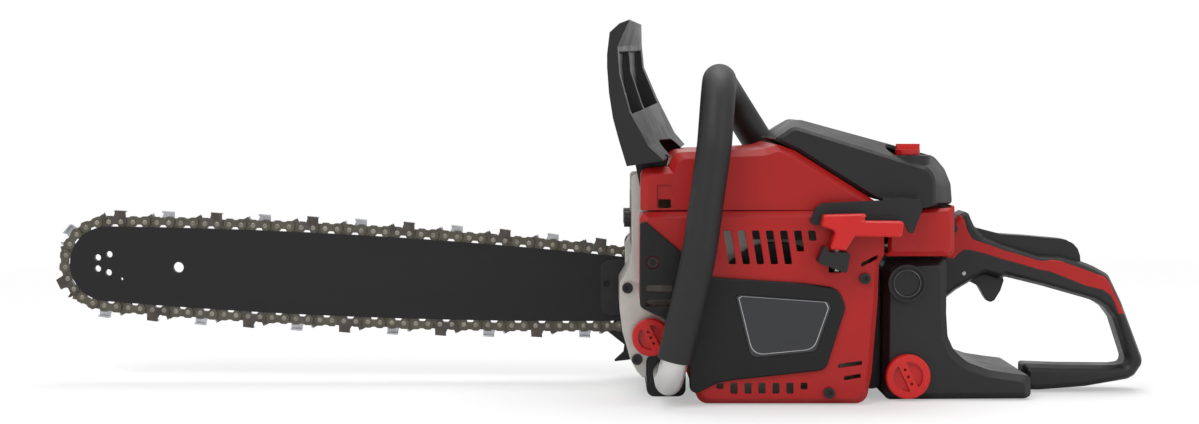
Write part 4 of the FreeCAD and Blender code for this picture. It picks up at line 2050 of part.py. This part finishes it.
def build_clutch_cover():
    """Black side cover over drum and chain, open in front, with the pad that clamps the bar."""
    body = new_body("clutch_cover", size("clutch_cover_x"), size("clutch_seat_y"), size("clutch_cover_z"))
    depth, wall, edge = size("clutch_cover_depth"), size("clutch_cover_wall"), size("cover_edge")
    form = (CLUTCH_COVER_SHARES, size("clutch_cover_length"), size("clutch_cover_height"),
            size("clutch_cover_corner"))
    moulded_shell(body, *form, (0, edge - depth, -depth), (0, 0, edge * EDGE_DRAFT_SHARE))
    moulded_shell(body, *form, (size("overrun"), edge - depth, wall - depth),
                  (wall, wall, wall + edge * EDGE_DRAFT_SHARE), kind="SubtractiveLoft")
    gate = new_sketch(body)
    margin = wall * GATE_SHARE
    draw(gate, box_outline(-size("overrun"), margin, wall + 2 * size("overrun"),
                           size("clutch_cover_height") - margin))
    pocket(body, gate, "sizes.gate_depth")
    clamp = new_sketch(body, "XZ_Plane", wall - depth)
    half = size("clamp_pad_half")
    first, second = bar_place(size("stud_first"), 0), bar_place(size("stud_second"), 0)
    left, right = min(first.x, second.x) - half, max(first.x, second.x) + half
    middle = (first.z + second.z) / 2
    draw(clamp, box_outline(left - size("clutch_cover_x"), middle - half - size("clutch_cover_z"),
                            right - size("clutch_cover_x"), middle + half - size("clutch_cover_z"),
                            half / 2))
    pad(body, clamp, "sizes.clamp_pad_length")
    holes = new_sketch(body, "XZ_Plane", -depth)
    for place in (first, second):
        draw_circle(holes, place.x - size("clutch_cover_x"), place.z - size("clutch_cover_z"), "stud_way")
    pocket(body, holes, "sizes.clutch_cover_depth", other_way=True)


def hexagon(radius, height, place, along):
    """A loose hexagonal bar."""
    corners = [V(radius * math.cos(math.radians(angle)), radius * math.sin(math.radians(angle)), 0)
               for angle in range(0, FULL_TURN + 1, SIXTH_TURN)]
    solid = Part.Face(Part.makePolygon(corners)).extrude(V(0, 0, height))
    solid.Placement = FreeCAD.Placement(place, FreeCAD.Rotation(V(0, 0, 1), along))
    return solid


def build_bar_fixing():
    """Studs, nuts, inner guide plate, tensioner, spikes, chain catcher and oil pump."""
    studs, nuts = [], []
    face_y = size("clutch_seat_y") + size("clutch_cover_depth")
    root_y = size("bar_pad_y") - size("stud_root")
    for alias in ("stud_first", "stud_second"):
        place = bar_place(size(alias), 0)
        length = face_y + size("nut_length") + size("fit_gap") * 2 - root_y
        studs.append(rod(size("stud_radius"), length, place.x, root_y, place.z))
        nut = hexagon(size("nut_corner"), size("nut_length"), V(place.x, face_y, place.z), V(0, 1, 0))
        nuts.append(nut.cut(rod(size("stud_radius"), size("nut_length"), place.x, face_y, place.z)))
    group("bar_studs", studs)
    group("bar_nuts", nuts)
    plate = new_body("bar_inner_plate", 0, size("plate_inner_y"), 0)
    draw_plate = new_sketch(plate)
    draw(draw_plate, box_outline(size("guide_left"), size("guide_foot"), size("guide_right"),
                                 size("guide_top"), size("guide_corner")))
    pad(plate, draw_plate, "sizes.guide_thickness", other_way=True)
    holes = new_sketch(plate)
    draw_circle(holes, size("guide_hole_x"), size("guide_hole_z"), "guide_hole_radius")
    for alias in ("stud_first", "stud_second"):
        place = bar_place(size(alias), 0)
        draw_circle(holes, place.x, place.z, "stud_way")
    pocket(plate, holes, "sizes.guide_thickness + 2 * sizes.overrun", middle=True)
    pin = bar_place(size("bar_pin_place"), size("bar_pin_height"))
    outer_y = size("bar_y") + size("bar_thickness") / 2 + size("fit_gap")
    peg = rod(size("tension_pin"), size("bar_thickness"), pin.x, outer_y - size("bar_thickness"), pin.z)
    carriage = block(pin.x - size("tension_half"), outer_y, pin.z - size("tension_pin"),
                     pin.x + size("tension_half"), outer_y + size("tension_depth"),
                     pin.z + size("tension_pin"))
    screw = rod(size("tension_screw"), size("tension_reach"),
                pin.x + size("tension_half") - size("tension_screw"),
                outer_y + size("tension_depth") / 2, pin.z, V(1, 0, 0))
    group("chain_tensioner", [peg.fuse(carriage).fuse(screw)])
    spikes = new_body("spike_bumper", 0, size("spike_y"), 0)
    teeth = draw(new_sketch(spikes), framed_outline(SPIKE_SHARES, "spike", size("spike_corner")))
    pad(spikes, teeth, "sizes.spike_thickness", other_way=True)
    flange = new_sketch(spikes)
    draw(flange, box_outline(size("clutch_cover_x") - size("spike_thickness"), size("spike_flange_foot"),
                             size("clutch_cover_x"), size("spike_flange_top")))
    pad(spikes, flange, "sizes.spike_flange", other_way=True)
    for share in SPIKE_BOLT_SHARES:
        level = size("spike_flange_foot") + (size("spike_flange_top") - size("spike_flange_foot")) * share
        bolt_y = size("spike_y") + size("spike_flange") - size("screw_head_radius") - size("panel_edge")
        screws.append(rod(size("screw_head_radius"), size("screw_head_height"),
                          size("clutch_cover_x") - size("spike_thickness"), bolt_y, level, V(-1, 0, 0)))
    pump = block(-size("pump_half"), size("clutch_seat_y"), size("pump_foot"), size("pump_half"),
                 size("clutch_seat_y") + size("pump_depth"), size("pump_top"))
    group("oil_pump", [pump])
    catcher = block(size("catcher_left"), size("case_right_y"), size("catcher_foot"), size("catcher_right"),
                    size("catcher_end_y"), size("catcher_top"))
    group("chain_catcher", [catcher])


def build_screws():
    """Cap screws of the starter cover, the castings and the handle."""
    near = V(0, -1, 0)
    face_y = size("fan_wall_y") - size("cover_depth")
    for share_x, share_z in COVER_SCREW_SHARES:
        screws.append(socket_screw(1, size("cover_x") + share_x * size("cover_length"), face_y,
                                   size("cover_z") + share_z * size("cover_height"), near))
    for share_x, share_z in CASE_SCREW_SHARES:
        screws.append(socket_screw(1, size("case_front_x") + share_x * size("case_length"),
                                   size("case_left_y"),
                                   share_z * size("case_height"), near))
    group("screws", screws)
    group("hinge_pins", hinge_pins)


SHOES = 3
GATE_SHARE = 1.3
SPIKE_BOLT_SHARES = [0.2, 0.8]
SPIKE_SHARES = [
    (0.75, 0.967), (0.167, 0.9), (0.542, 0.822), (0.083, 0.733), (0.521, 0.644), (0.083, 0.533),
    (0.542, 0.444), (0.163, 0.309), (0.746, 0.186), (0.712, 0.123), (0.354, 0.034), (0.942, 0.052),
    (0.942, 0.233), (0.75, 0.289)]

build_clutch()
build_clutch_cover()
build_bar_fixing()
build_screws()


# Every feature must have worked and every sub-part must be a sound shape
doc.recompute()
faults = [item.Label for item in doc.Objects if "Invalid" in item.State or "Error" in item.State]
for part in subparts:
    if part.Shape.isNull() or not part.Shape.isValid() or not part.Shape.Solids:
        faults.append(part.Label)
if faults:
    raise RuntimeError("these did not compute: %s" % ", ".join(faults))
os.makedirs("parts", exist_ok=True)
for part in subparts:
    part.Shape.exportStep("parts/%s.step" % part.Label)
    print(part.Label, len(part.Shape.Solids), round(part.Shape.Volume))
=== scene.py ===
import json
import math

import bpy
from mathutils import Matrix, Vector


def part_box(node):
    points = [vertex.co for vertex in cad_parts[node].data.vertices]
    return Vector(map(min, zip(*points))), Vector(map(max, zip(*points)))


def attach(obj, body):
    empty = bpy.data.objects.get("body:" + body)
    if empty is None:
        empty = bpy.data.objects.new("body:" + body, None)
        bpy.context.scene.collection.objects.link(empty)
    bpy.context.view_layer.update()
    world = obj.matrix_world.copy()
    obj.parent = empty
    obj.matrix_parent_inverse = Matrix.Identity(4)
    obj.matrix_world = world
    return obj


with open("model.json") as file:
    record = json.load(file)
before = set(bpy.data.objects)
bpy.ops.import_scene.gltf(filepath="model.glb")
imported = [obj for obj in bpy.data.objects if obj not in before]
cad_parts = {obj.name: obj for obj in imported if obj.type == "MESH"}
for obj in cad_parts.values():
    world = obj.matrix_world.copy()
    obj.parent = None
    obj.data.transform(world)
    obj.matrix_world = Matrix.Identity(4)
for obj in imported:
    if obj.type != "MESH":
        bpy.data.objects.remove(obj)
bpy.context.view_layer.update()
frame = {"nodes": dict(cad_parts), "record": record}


# Camera at the photograph's height and distance

CAMERA_TARGET = Vector((-0.132, 0.0, 0.1365))
CAMERA_DISTANCE = 1.6
CAMERA_TILT = math.radians(3)
SENSOR_WIDTH = 36
IMAGE_WIDTH = 1199
FOCAL_PIXELS = 2088
VIEW_END = 60


def add_camera():
    """Three degrees above the saw, from the starter side."""
    lens = bpy.data.cameras.new("camera")
    lens.sensor_width = SENSOR_WIDTH
    lens.lens = SENSOR_WIDTH * FOCAL_PIXELS / IMAGE_WIDTH
    lens.clip_end = VIEW_END
    camera = bpy.data.objects.new("camera", lens)
    back = Vector((0, -math.cos(CAMERA_TILT), math.sin(CAMERA_TILT)))
    camera.location = CAMERA_TARGET + CAMERA_DISTANCE * back
    camera.rotation_euler = (math.pi / 2 - CAMERA_TILT, 0, 0)
    bpy.context.scene.collection.objects.link(camera)
    bpy.context.scene.camera = camera


# Materials: one node graph, set up for each surface

def linear(colour):
    """Linear colour of a hexadecimal one."""
    parts = [int(colour[i:i + 2], 16) / 255 for i in (0, 2, 4)]
    return [p / 12.92 if p <= 0.04045 else ((p + 0.055) / 1.055) ** 2.4 for p in parts]


class Graph:
    """A material's nodes, with short calls to add and join them."""

    def __init__(self, name):
        self.material = bpy.data.materials.new(name)
        self.material.use_nodes = True
        self.nodes = self.material.node_tree.nodes
        self.links = self.material.node_tree.links
        self.shader = self.nodes["Principled BSDF"]
        self.place = self.add("ShaderNodeTexCoord").outputs["Object"]

    def add(self, kind, inputs=None, **settings):
        """One node; an input is a number, a colour or another node's output."""
        node = self.nodes.new(kind)
        for name, value in settings.items():
            setattr(node, name, value)
        for name, value in (inputs or {}).items():
            self.join(node.inputs[name], value)
        return node

    def join(self, socket, value):
        """Link another node's output to the socket, or set its value."""
        if isinstance(value, bpy.types.NodeSocket):
            self.links.new(value, socket)
        else:
            socket.default_value = value

    def stretched(self, scale):
        """The object's own coordinates, scaled along each axis."""
        return self.add("ShaderNodeMapping", {"Vector": self.place, "Scale": scale}).outputs["Vector"]

    def noise(self, scale, detail=3.0, rough=0.5, stretch=None):
        """Noise between 0 and 1, drawn out along an axis where a stretch is given."""
        where = self.stretched(stretch) if stretch else self.place
        node = self.add("ShaderNodeTexNoise", {"Vector": where, "Scale": scale, "Detail": detail,
                                               "Roughness": rough})
        return node.outputs["Fac"]

    def spread(self, value, low, high, start=0.0, end=1.0):
        """A value from one span mapped to another, held at its ends."""
        node = self.add("ShaderNodeMapRange", {"Value": value, "From Min": low, "From Max": high,
                                               "To Min": start, "To Max": end})
        return node.outputs["Result"]

    def maths(self, kind, first, second=0.5):
        """One step of arithmetic on two values."""
        node = self.add("ShaderNodeMath", {0: first, 1: second}, operation=kind)
        return node.outputs[0]

    def mix(self, share, first, second):
        """Two colours mixed by a share."""
        node = self.add("ShaderNodeMix", data_type="RGBA")
        self.join(node.inputs[0], share)
        for index, value in ((6, first), (7, second)):
            linked = isinstance(value, bpy.types.NodeSocket)
            self.join(node.inputs[index], value if linked else (*value, 1.0))
        return node.outputs[2]


# Spans and scales of the noise that makes a surface cloudy, smeared and chipped at its corners

CLOUD_SPAN = (0.3, 0.7)
BEND_SPAN = (0.995, 0.86)
CHIP_SCALE, CHIP_SPAN = 160, (0.42, 0.62)
SMEAR_SCALE, SMEAR_REACH = 38, 0.08
COAT_ROUGHNESS = 0.25
WORN = "9A9A9A"


def surface(name, colour, roughness, metallic=0.0, other=None, drift=0.12, grain=(1400, 0.00004),
            second_grain=None, edge=0.0007, wear=0.0, wear_colour=None, coat=0.0, patch=14, specular=0.5,
            stretch=None, bumps=()):
    """A finished surface: cloudy colour, moulded grain, softened edges and worn corners."""
    g = Graph(name)
    base = linear(colour)
    darker = [c * (1 - drift) for c in base]
    lighter = linear(other) if other else [min(1, c * (1 + drift)) for c in base]
    cloud = g.noise(patch, 4, 0.6, stretch)
    tint = g.mix(g.spread(cloud, *CLOUD_SPAN), darker, lighter)
    fine = g.noise(grain[0], 2, 0.6, stretch)
    soft = g.add("ShaderNodeBevel", {"Radius": edge}, samples=4).outputs["Normal"]
    if wear:
        sharp = g.add("ShaderNodeNewGeometry").outputs["Normal"]
        bent = g.add("ShaderNodeVectorMath", {0: soft, 1: sharp}, operation="DOT_PRODUCT").outputs["Value"]
        corner = g.spread(bent, *BEND_SPAN)
        broken = g.spread(g.noise(CHIP_SCALE, 5, 0.7), *CHIP_SPAN)
        share = g.maths("MULTIPLY", g.maths("MULTIPLY", corner, broken), wear)
        tint = g.mix(share, tint, linear(wear_colour or WORN))
    g.join(g.shader.inputs["Base Color"], tint)
    smear = g.spread(g.noise(SMEAR_SCALE, 5, 0.65, stretch), *CLOUD_SPAN,
                     roughness - SMEAR_REACH, roughness + SMEAR_REACH)
    g.join(g.shader.inputs["Roughness"], smear)
    g.shader.inputs["Metallic"].default_value = metallic
    g.shader.inputs["Coat Weight"].default_value = coat
    g.shader.inputs["Coat Roughness"].default_value = COAT_ROUGHNESS
    g.shader.inputs["Specular IOR Level"].default_value = specular
    normal = g.add("ShaderNodeBump", {"Height": fine, "Distance": grain[1], "Strength": 1.0, "Normal": soft})
    if second_grain:
        wide = g.noise(second_grain[0], 3, 0.6, stretch)
        normal = g.add("ShaderNodeBump", {"Height": wide, "Distance": second_grain[1], "Strength": 1.0,
                                          "Normal": normal.outputs["Normal"]})
    for scale, axis, depth in bumps:
        rings = g.add("ShaderNodeTexWave", {"Vector": g.place, "Scale": scale}, wave_type="BANDS",
                      bands_direction=axis).outputs["Fac"]
        normal = g.add("ShaderNodeBump", {"Height": rings, "Distance": depth, "Strength": 1.0,
                                          "Normal": normal.outputs["Normal"]})
    g.join(g.shader.inputs["Normal"], normal.outputs["Normal"])
    return g


MATERIALS = {
    "red_shell": dict(colour="A41917", roughness=0.38, specular=0.28, grain=(1500, 0.00003),
                      edge=0.001, coat=0.03, wear=0.1, wear_colour="C9756C", drift=0.06),
    "red_bright": dict(colour="C21715", roughness=0.34, specular=0.35, grain=(1700, 0.00002),
                       edge=0.0008, coat=0.08, wear=0.15, wear_colour="DE7A70", drift=0.06),
    "black_shell": dict(colour="131214", roughness=0.43, specular=0.36, grain=(1300, 0.00006), edge=0.0011,
                        wear=0.18, wear_colour="4C4B4A", drift=0.15),
    "panel_black": dict(colour="0B0B0C", roughness=0.45, specular=0.28, grain=(1300, 0.00005), edge=0.0009,
                        wear=0.2, wear_colour="3A3A3A", drift=0.2),
    "tank_plastic": dict(colour="151416", roughness=0.46, specular=0.36, grain=(1100, 0.00007), edge=0.0014,
                         wear=0.2, wear_colour="55524F", drift=0.15, second_grain=(90, 0.0002)),
    "cast": dict(colour="B4B2AD", roughness=0.4, metallic=0.7, grain=(900, 0.00012), edge=0.0012,
                 second_grain=(160, 0.0003), wear=0.5, wear_colour="D5D3CE", drift=0.14),
    "bar_coat": dict(colour="100E11", roughness=0.5, specular=0.3, grain=(1500, 0.00004), edge=0.0004,
                     wear=0.5, wear_colour="77777A", drift=0.15, stretch=(0.12, 1, 1), patch=60),
    "steel": dict(colour="A2A3A5", roughness=0.3, metallic=0.95, grain=(1500, 0.00003), edge=0.0004,
                  drift=0.15, patch=70),
    # Blackened steel; on the flywheel it stands as painted shade over aluminium
    "dark_steel_and_shade": dict(colour="242325", roughness=0.42, metallic=0.55, grain=(1200, 0.00006), edge=0.0005,
                       wear=0.5, wear_colour="6C6A68", drift=0.2, patch=60),
    "rubber": dict(colour="121112", roughness=0.55, grain=(900, 0.00012), edge=0.0012, drift=0.2,
                   specular=0.4),
    "tube_alu": dict(colour="C4C3C2", roughness=0.36, metallic=0.85, grain=(1500, 0.00003), edge=0.0004,
                     stretch=(1, 1, 0.1), drift=0.08, wear=0.4, wear_colour="8F8E8C"),
    "muffler_steel": dict(colour="4A4744", roughness=0.5, metallic=0.75, other="75624C", edge=0.001,
                          grain=(800, 0.00008), drift=0.3, patch=24),
    "foam": dict(colour="C9C2A4", roughness=0.9, grain=(700, 0.0004), edge=0.001, drift=0.12, specular=0.2),
    "link_steel": dict(colour="6A665A", roughness=0.42, metallic=0.6, other="4A473E", edge=0.0004,
                       grain=(1500, 0.00005), patch=110, drift=0.3, wear=0.6, wear_colour="8C877D"),
    "chrome": dict(colour="A9AAAE", roughness=0.24, metallic=0.95, edge=0.0003, grain=(1600, 0.00003),
                   patch=120, drift=0.2, wear=0.8, wear_colour="5A5A60"),
    # Darker copy of the chrome: painted shade for one row of cutters, on their faces toward the camera
    "cutter_painted_shade": dict(colour="453F3B", roughness=0.38, metallic=0.65, other="55504C", edge=0.0003,
                        grain=(1500, 0.00004), patch=100, drift=0.2, wear=0.7, wear_colour="A5A29E"),
    "rivet_steel": dict(colour="A8A296", roughness=0.34, metallic=0.85, other="6C675D", edge=0.0002,
                        grain=(1500, 0.00004), patch=130, drift=0.3),
    "ring_black": dict(colour="2C2B2C", roughness=0.22, edge=0.0001, drift=0.15, grain=(1500, 0.00002),
                       patch=90, coat=0.3),
    "silver_line": dict(colour="A9AAAC", roughness=0.35, metallic=0.5, edge=0.0001, drift=0.08,
                        grain=(1500, 0.00002), patch=90),
}

# Nodes whose surface isn't that of their slot: blackened steel, painted shade on the aluminium flywheel
# inside the grille, oiled chain and the darker panel
NODE_SURFACES = {"bar_inner_plate": "dark_steel_and_shade", "spike_bumper": "dark_steel_and_shade", "flywheel": "dark_steel_and_shade",
                 "screws": "dark_steel_and_shade", "chain_catcher": "dark_steel_and_shade", "saw_chain": "link_steel",
                 "cover_panel": "panel_black"}


def add_cord_material():
    """Rope braided of crossing strands."""
    g = surface("cord", "D8D6CE", 0.8, drift=0.1, grain=(2500, 0.0001), edge=0.0004, specular=0.2,
                bumps=((260, "DIAGONAL", 0.0006),))
    return g.material


def add_plate_material():
    """Dark satin plate, left bare."""
    g = surface("plate", "2A2B2D", 0.3, 0.4, drift=0.15, grain=(1500, 0.00002), edge=0.0004,
                stretch=(0.08, 1, 1), patch=40, coat=0.15)
    return g.material


def dress_nodes():
    """Give every CAD node the surface of its slot in the record, or its own."""
    made = {name: surface(name, **settings).material for name, settings in MATERIALS.items()}
    made["cord"] = add_cord_material()
    made["plate"] = add_plate_material()
    slots = {row["node"]: row["material_slot"] for row in frame["record"]["subparts"]}
    for name, node in frame["nodes"].items():
        node.data.materials.clear()
        node.data.materials.append(made[NODE_SURFACES.get(name, slots[name])])
    return made


def body_of(node):
    """The moving body that a CAD node belongs to."""
    bodies = frame["record"]["behaviour"]["bodies"]
    return next(body for body, nodes in bodies.items() if node in nodes)


def add_piece(name, points, faces, material, node):
    """A mesh that rides with the node it lies on."""
    mesh = bpy.data.meshes.new(name)
    mesh.from_pydata(points, [], faces)
    mesh.materials.append(material)
    piece = bpy.data.objects.new(name, mesh)
    bpy.context.scene.collection.objects.link(piece)
    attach(piece, body_of(node))
    return piece


# Saw chain: each link's own steel, painted shade on one row of cutters' faces toward the camera, and its
# rivets

# Rivet to rivet, and from the chain's middle to a strap's outer face
PITCH = 0.009525
STRAP_FACE = 0.00225
# How far a cutter face must turn toward the camera to get the painted shade
SIDE_FACING = -0.7
RIVET_SIDES = 10
RIVET_PROFILE = ((0.0021, 0), (0.002, 0.00025), (0.0013, 0.00045))
PLACE_GRID = 0.002


def islands(mesh):
    """Groups of polygons that hang together, by the places of their corners."""
    numbers = {}
    keys = [numbers.setdefault(tuple(round(c, 6) for c in vertex.co), len(numbers))
            for vertex in mesh.vertices]
    parent = list(range(len(numbers)))

    def root(item):
        while parent[item] != item:
            parent[item] = parent[parent[item]]
            item = parent[item]
        return item

    for polygon in mesh.polygons:
        first = root(keys[polygon.vertices[0]])
        for vertex in polygon.vertices[1:]:
            parent[root(keys[vertex])] = first
    groups = {}
    for polygon in mesh.polygons:
        groups.setdefault(root(keys[polygon.vertices[0]]), []).append(polygon)
    return groups.values()


def strap_ends(points):
    """The two rivet places of a strap, half a pitch each way along its length."""
    x, z = (sum(p[axis] for p in points) / len(points) for axis in (0, 2))
    xx = sum((p.x - x) ** 2 for p in points)
    zz = sum((p.z - z) ** 2 for p in points)
    xz = sum((p.x - x) * (p.z - z) for p in points)
    along = 0.5 * math.atan2(2 * xz, xx - zz)
    return [(x + step * math.cos(along), z + step * math.sin(along)) for step in (-PITCH / 2, PITCH / 2)]


def paint_links(mesh, middle):
    """Set each cutter's steel, with painted shade on the faces toward the camera of one row of cutters, and
    gather the rivet places of the plain straps.
    """
    places = {}
    for group in islands(mesh):
        points = [mesh.vertices[v].co for polygon in group for v in polygon.vertices]
        low, high = min(p.y for p in points), max(p.y for p in points)
        if high - low > 2 * STRAP_FACE:
            near = (low + high) / 2 > middle
            for polygon in group:
                # Faces toward the camera on one row get the darker copy of the chrome: painted shade
                polygon.material_index = 2 if near and polygon.normal.y < SIDE_FACING else 1
        elif abs((low + high) / 2 - middle) > STRAP_FACE / 3:
            for spot in strap_ends(points):
                places.setdefault((round(spot[0] / PLACE_GRID), round(spot[1] / PLACE_GRID)), spot)
    kept = []
    for x, z in places.values():
        if all(math.hypot(x - other[0], z - other[1]) > PITCH / 2 for other in kept):
            kept.append((x, z))
    return kept


def add_rivets(places, middle, material):
    """Low domed heads on both sides of the chain."""
    points, faces = [], []
    for x, z in places:
        for side in (-1, 1):
            first = len(points)
            for radius, rise in RIVET_PROFILE:
                for turn in range(RIVET_SIDES):
                    angle = 2 * math.pi * turn / RIVET_SIDES
                    points.append((x + radius * math.cos(angle), middle + side * (STRAP_FACE + rise),
                                   z + radius * math.sin(angle)))
            for ring in range(len(RIVET_PROFILE) - 1):
                start = first + ring * RIVET_SIDES
                for turn in range(RIVET_SIDES):
                    a, b = start + turn, start + (turn + 1) % RIVET_SIDES
                    quad = (a, b, b + RIVET_SIDES, a + RIVET_SIDES)
                    faces.append(quad if side < 0 else quad[::-1])
            crown = first + (len(RIVET_PROFILE) - 1) * RIVET_SIDES
            cap = tuple(crown + turn for turn in range(RIVET_SIDES))
            faces.append(cap if side < 0 else cap[::-1])
    add_piece("chain_rivets", points, faces, material, "saw_chain")


def dress_chain(made):
    """Plated cutters, one row with painted shade on its faces toward the camera, oiled straps and drive
    links, and a rivet head on each strap's ends.
    """
    mesh = frame["nodes"]["saw_chain"].data
    for name in ("chrome", "cutter_painted_shade"):
        mesh.materials.append(made[name])
    middle = sum(end[1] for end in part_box("saw_chain")) / 2
    add_rivets(paint_links(mesh, middle), middle, made["rivet_steel"])


# Raised ring on the round cap over the mount

RING_STEPS, RING_SIDES = 48, 8
RING_SHARE = 0.7
RING_THICKNESS = 0.0005
RING_FLATTEN = 0.9


def add_cap_ring(made):
    """Thin raised ring round the cap's face."""
    low, high = (Vector(corner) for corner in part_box("mount_cap"))
    x, z = (low.x + high.x) / 2, (low.z + high.z) / 2
    reach = (high.x - low.x) / 2 * RING_SHARE
    points, faces = [], []
    for step in range(RING_STEPS):
        turn = 2 * math.pi * step / RING_STEPS
        for side in range(RING_SIDES):
            bend = 2 * math.pi * side / RING_SIDES
            radius = reach + RING_THICKNESS * math.cos(bend)
            out = RING_THICKNESS * math.sin(bend) * RING_FLATTEN
            points.append((x + radius * math.cos(turn), low.y + out, z + radius * math.sin(turn)))
            after, beside = (step + 1) % RING_STEPS, (side + 1) % RING_SIDES
            faces.append((step * RING_SIDES + side, step * RING_SIDES + beside,
                          after * RING_SIDES + beside, after * RING_SIDES + side))
    add_piece("cap_ring", points, faces, made["ring_black"], "mount_cap")


# Thin silver line along the edge of the bare plate

PLATE_SHARES = [(0, 0.97), (0.036, 1), (0.97, 0.9), (1, 0.8), (0.84, 0.1), (0.16, 0)]
LINE_EDGES = (0.955, 0.937)
LINE_CORNER = 0.2
LINE_PROUD, LINE_SUNK = 0.00012, 0.0001


def rounded(corners, share, steps=5):
    """Closed outline whose corners are bent over a share of their sides."""
    points = []
    for index, corner in enumerate(corners):
        before, after = corners[index - 1], corners[(index + 1) % len(corners)]
        reach = min((before - corner).length, (after - corner).length) * share
        start = corner + (before - corner).normalized() * reach
        end = corner + (after - corner).normalized() * reach
        for step in range(steps + 1):
            t = step / steps
            points.append(start * (1 - t) ** 2 + corner * (2 * t * (1 - t)) + end * t ** 2)
    return points


def add_plate_line(made):
    """Ribbon that follows the plate's edge, a little inside it."""
    low, high = (Vector(corner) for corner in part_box("face_plate"))
    size = high - low
    corners = [Vector((low.x + x * size.x, low.z + z * size.z)) for x, z in PLATE_SHARES]
    centre = sum(corners, Vector((0, 0))) / len(corners)
    rings = []
    for shrink in LINE_EDGES:
        drawn = [centre + (corner - centre) * shrink for corner in corners]
        rings.append(rounded(drawn, LINE_CORNER))
    count = len(rings[0])
    depths = (low.y - LINE_PROUD, low.y + LINE_SUNK)
    points = [(p.x, y, p.y) for y in depths for ring in rings for p in ring]
    faces = []
    for index in range(count):
        after = (index + 1) % count
        faces.append((index, after, count + after, count + index))
        faces.append((2 * count + index, 2 * count + after, after, index))
        faces.append((count + index, count + after, 3 * count + after, 3 * count + index))
        faces.append((3 * count + index, 3 * count + after, 2 * count + after, 2 * count + index))
    add_piece("plate_line", points, faces, made["silver_line"], "face_plate")


# Floor, world and lamps

FLOOR_REACH = 14
FLOOR_DROP = 0.0004
FLOOR_FADE = (0.5, 1.6, 0.4, 1.0)
FLOOR_COLOUR, FLOOR_ROUGHNESS, FLOOR_SPECULAR = (0.9, 0.9, 0.9, 1.0), 0.8, 0.1
WHITE = (1.0, 1.0, 1.0, 1.0)
SURROUND_LIGHT = 0.45
LAMP_AIM = Vector((-0.05, 0, 0.12))


def add_stage():
    """Pale floor that runs into a white surround."""
    mesh = bpy.data.meshes.new("floor")
    corners = [(-FLOOR_REACH, -FLOOR_REACH), (FLOOR_REACH, -FLOOR_REACH),
               (FLOOR_REACH, FLOOR_REACH), (-FLOOR_REACH, FLOOR_REACH)]
    mesh.from_pydata([(x, y, -FLOOR_DROP) for x, y in corners], [], [(0, 1, 2, 3)])
    floor = bpy.data.objects.new("floor", mesh)
    bpy.context.scene.collection.objects.link(floor)
    g = Graph("floor")
    flat = g.add("ShaderNodeVectorMath", {0: g.place}, operation="LENGTH").outputs["Value"]
    far = g.spread(flat, *FLOOR_FADE)
    g.shader.inputs["Base Color"].default_value = FLOOR_COLOUR
    g.shader.inputs["Roughness"].default_value = FLOOR_ROUGHNESS
    g.shader.inputs["Specular IOR Level"].default_value = FLOOR_SPECULAR
    glow = g.add("ShaderNodeEmission", {"Color": WHITE, "Strength": 1.0})
    seen = g.add("ShaderNodeLightPath").outputs["Is Camera Ray"]
    share = g.maths("MULTIPLY", far, seen)
    blend = g.add("ShaderNodeMixShader", {0: share, 1: g.shader.outputs[0], 2: glow.outputs[0]})
    g.links.new(blend.outputs[0], g.nodes["Material Output"].inputs["Surface"])
    mesh.materials.append(g.material)


def add_world():
    """Even surround: white where it is seen or mirrored, softer as light."""
    world = bpy.data.worlds.new("world")
    world.use_nodes = True
    bpy.context.scene.world = world
    nodes, links = world.node_tree.nodes, world.node_tree.links
    background = nodes["Background"]
    background.inputs["Color"].default_value = WHITE
    path = nodes.new("ShaderNodeLightPath")
    seen = nodes.new("ShaderNodeMath")
    seen.operation = "MAXIMUM"
    links.new(path.outputs["Is Camera Ray"], seen.inputs[0])
    links.new(path.outputs["Is Glossy Ray"], seen.inputs[1])
    level = nodes.new("ShaderNodeMapRange")
    level.inputs["To Min"].default_value = SURROUND_LIGHT
    level.inputs["To Max"].default_value = 1.0
    links.new(seen.outputs[0], level.inputs["Value"])
    links.new(level.outputs["Result"], background.inputs["Strength"])


def add_lamp(name, place, size, power):
    """Soft box aimed at the middle of the saw."""
    lamp = bpy.data.lights.new(name, "AREA")
    lamp.shape = "RECTANGLE"
    lamp.size, lamp.size_y = size
    lamp.energy = power
    holder = bpy.data.objects.new(name, lamp)
    holder.location = place
    aim = LAMP_AIM - Vector(place)
    holder.rotation_euler = aim.to_track_quat("-Z", "Y").to_euler()
    bpy.context.scene.collection.objects.link(holder)


def add_lamps():
    """Soft key from the front left, a weaker fill, and one from above."""
    add_lamp("key", (-1.1, -1.7, 1.9), (1.4, 0.9), 24)
    add_lamp("fill", (1.5, -1.6, 1.0), (1.2, 1.0), 10)
    add_lamp("top", (0.1, 0.5, 2.2), (2.0, 1.4), 34)


add_camera()
materials = dress_nodes()
dress_chain(materials)
add_plate_line(materials)
add_cap_ring(materials)
add_stage()
add_world()
add_lamps()

scene = bpy.context.scene
scene.view_settings.view_transform = "Standard"
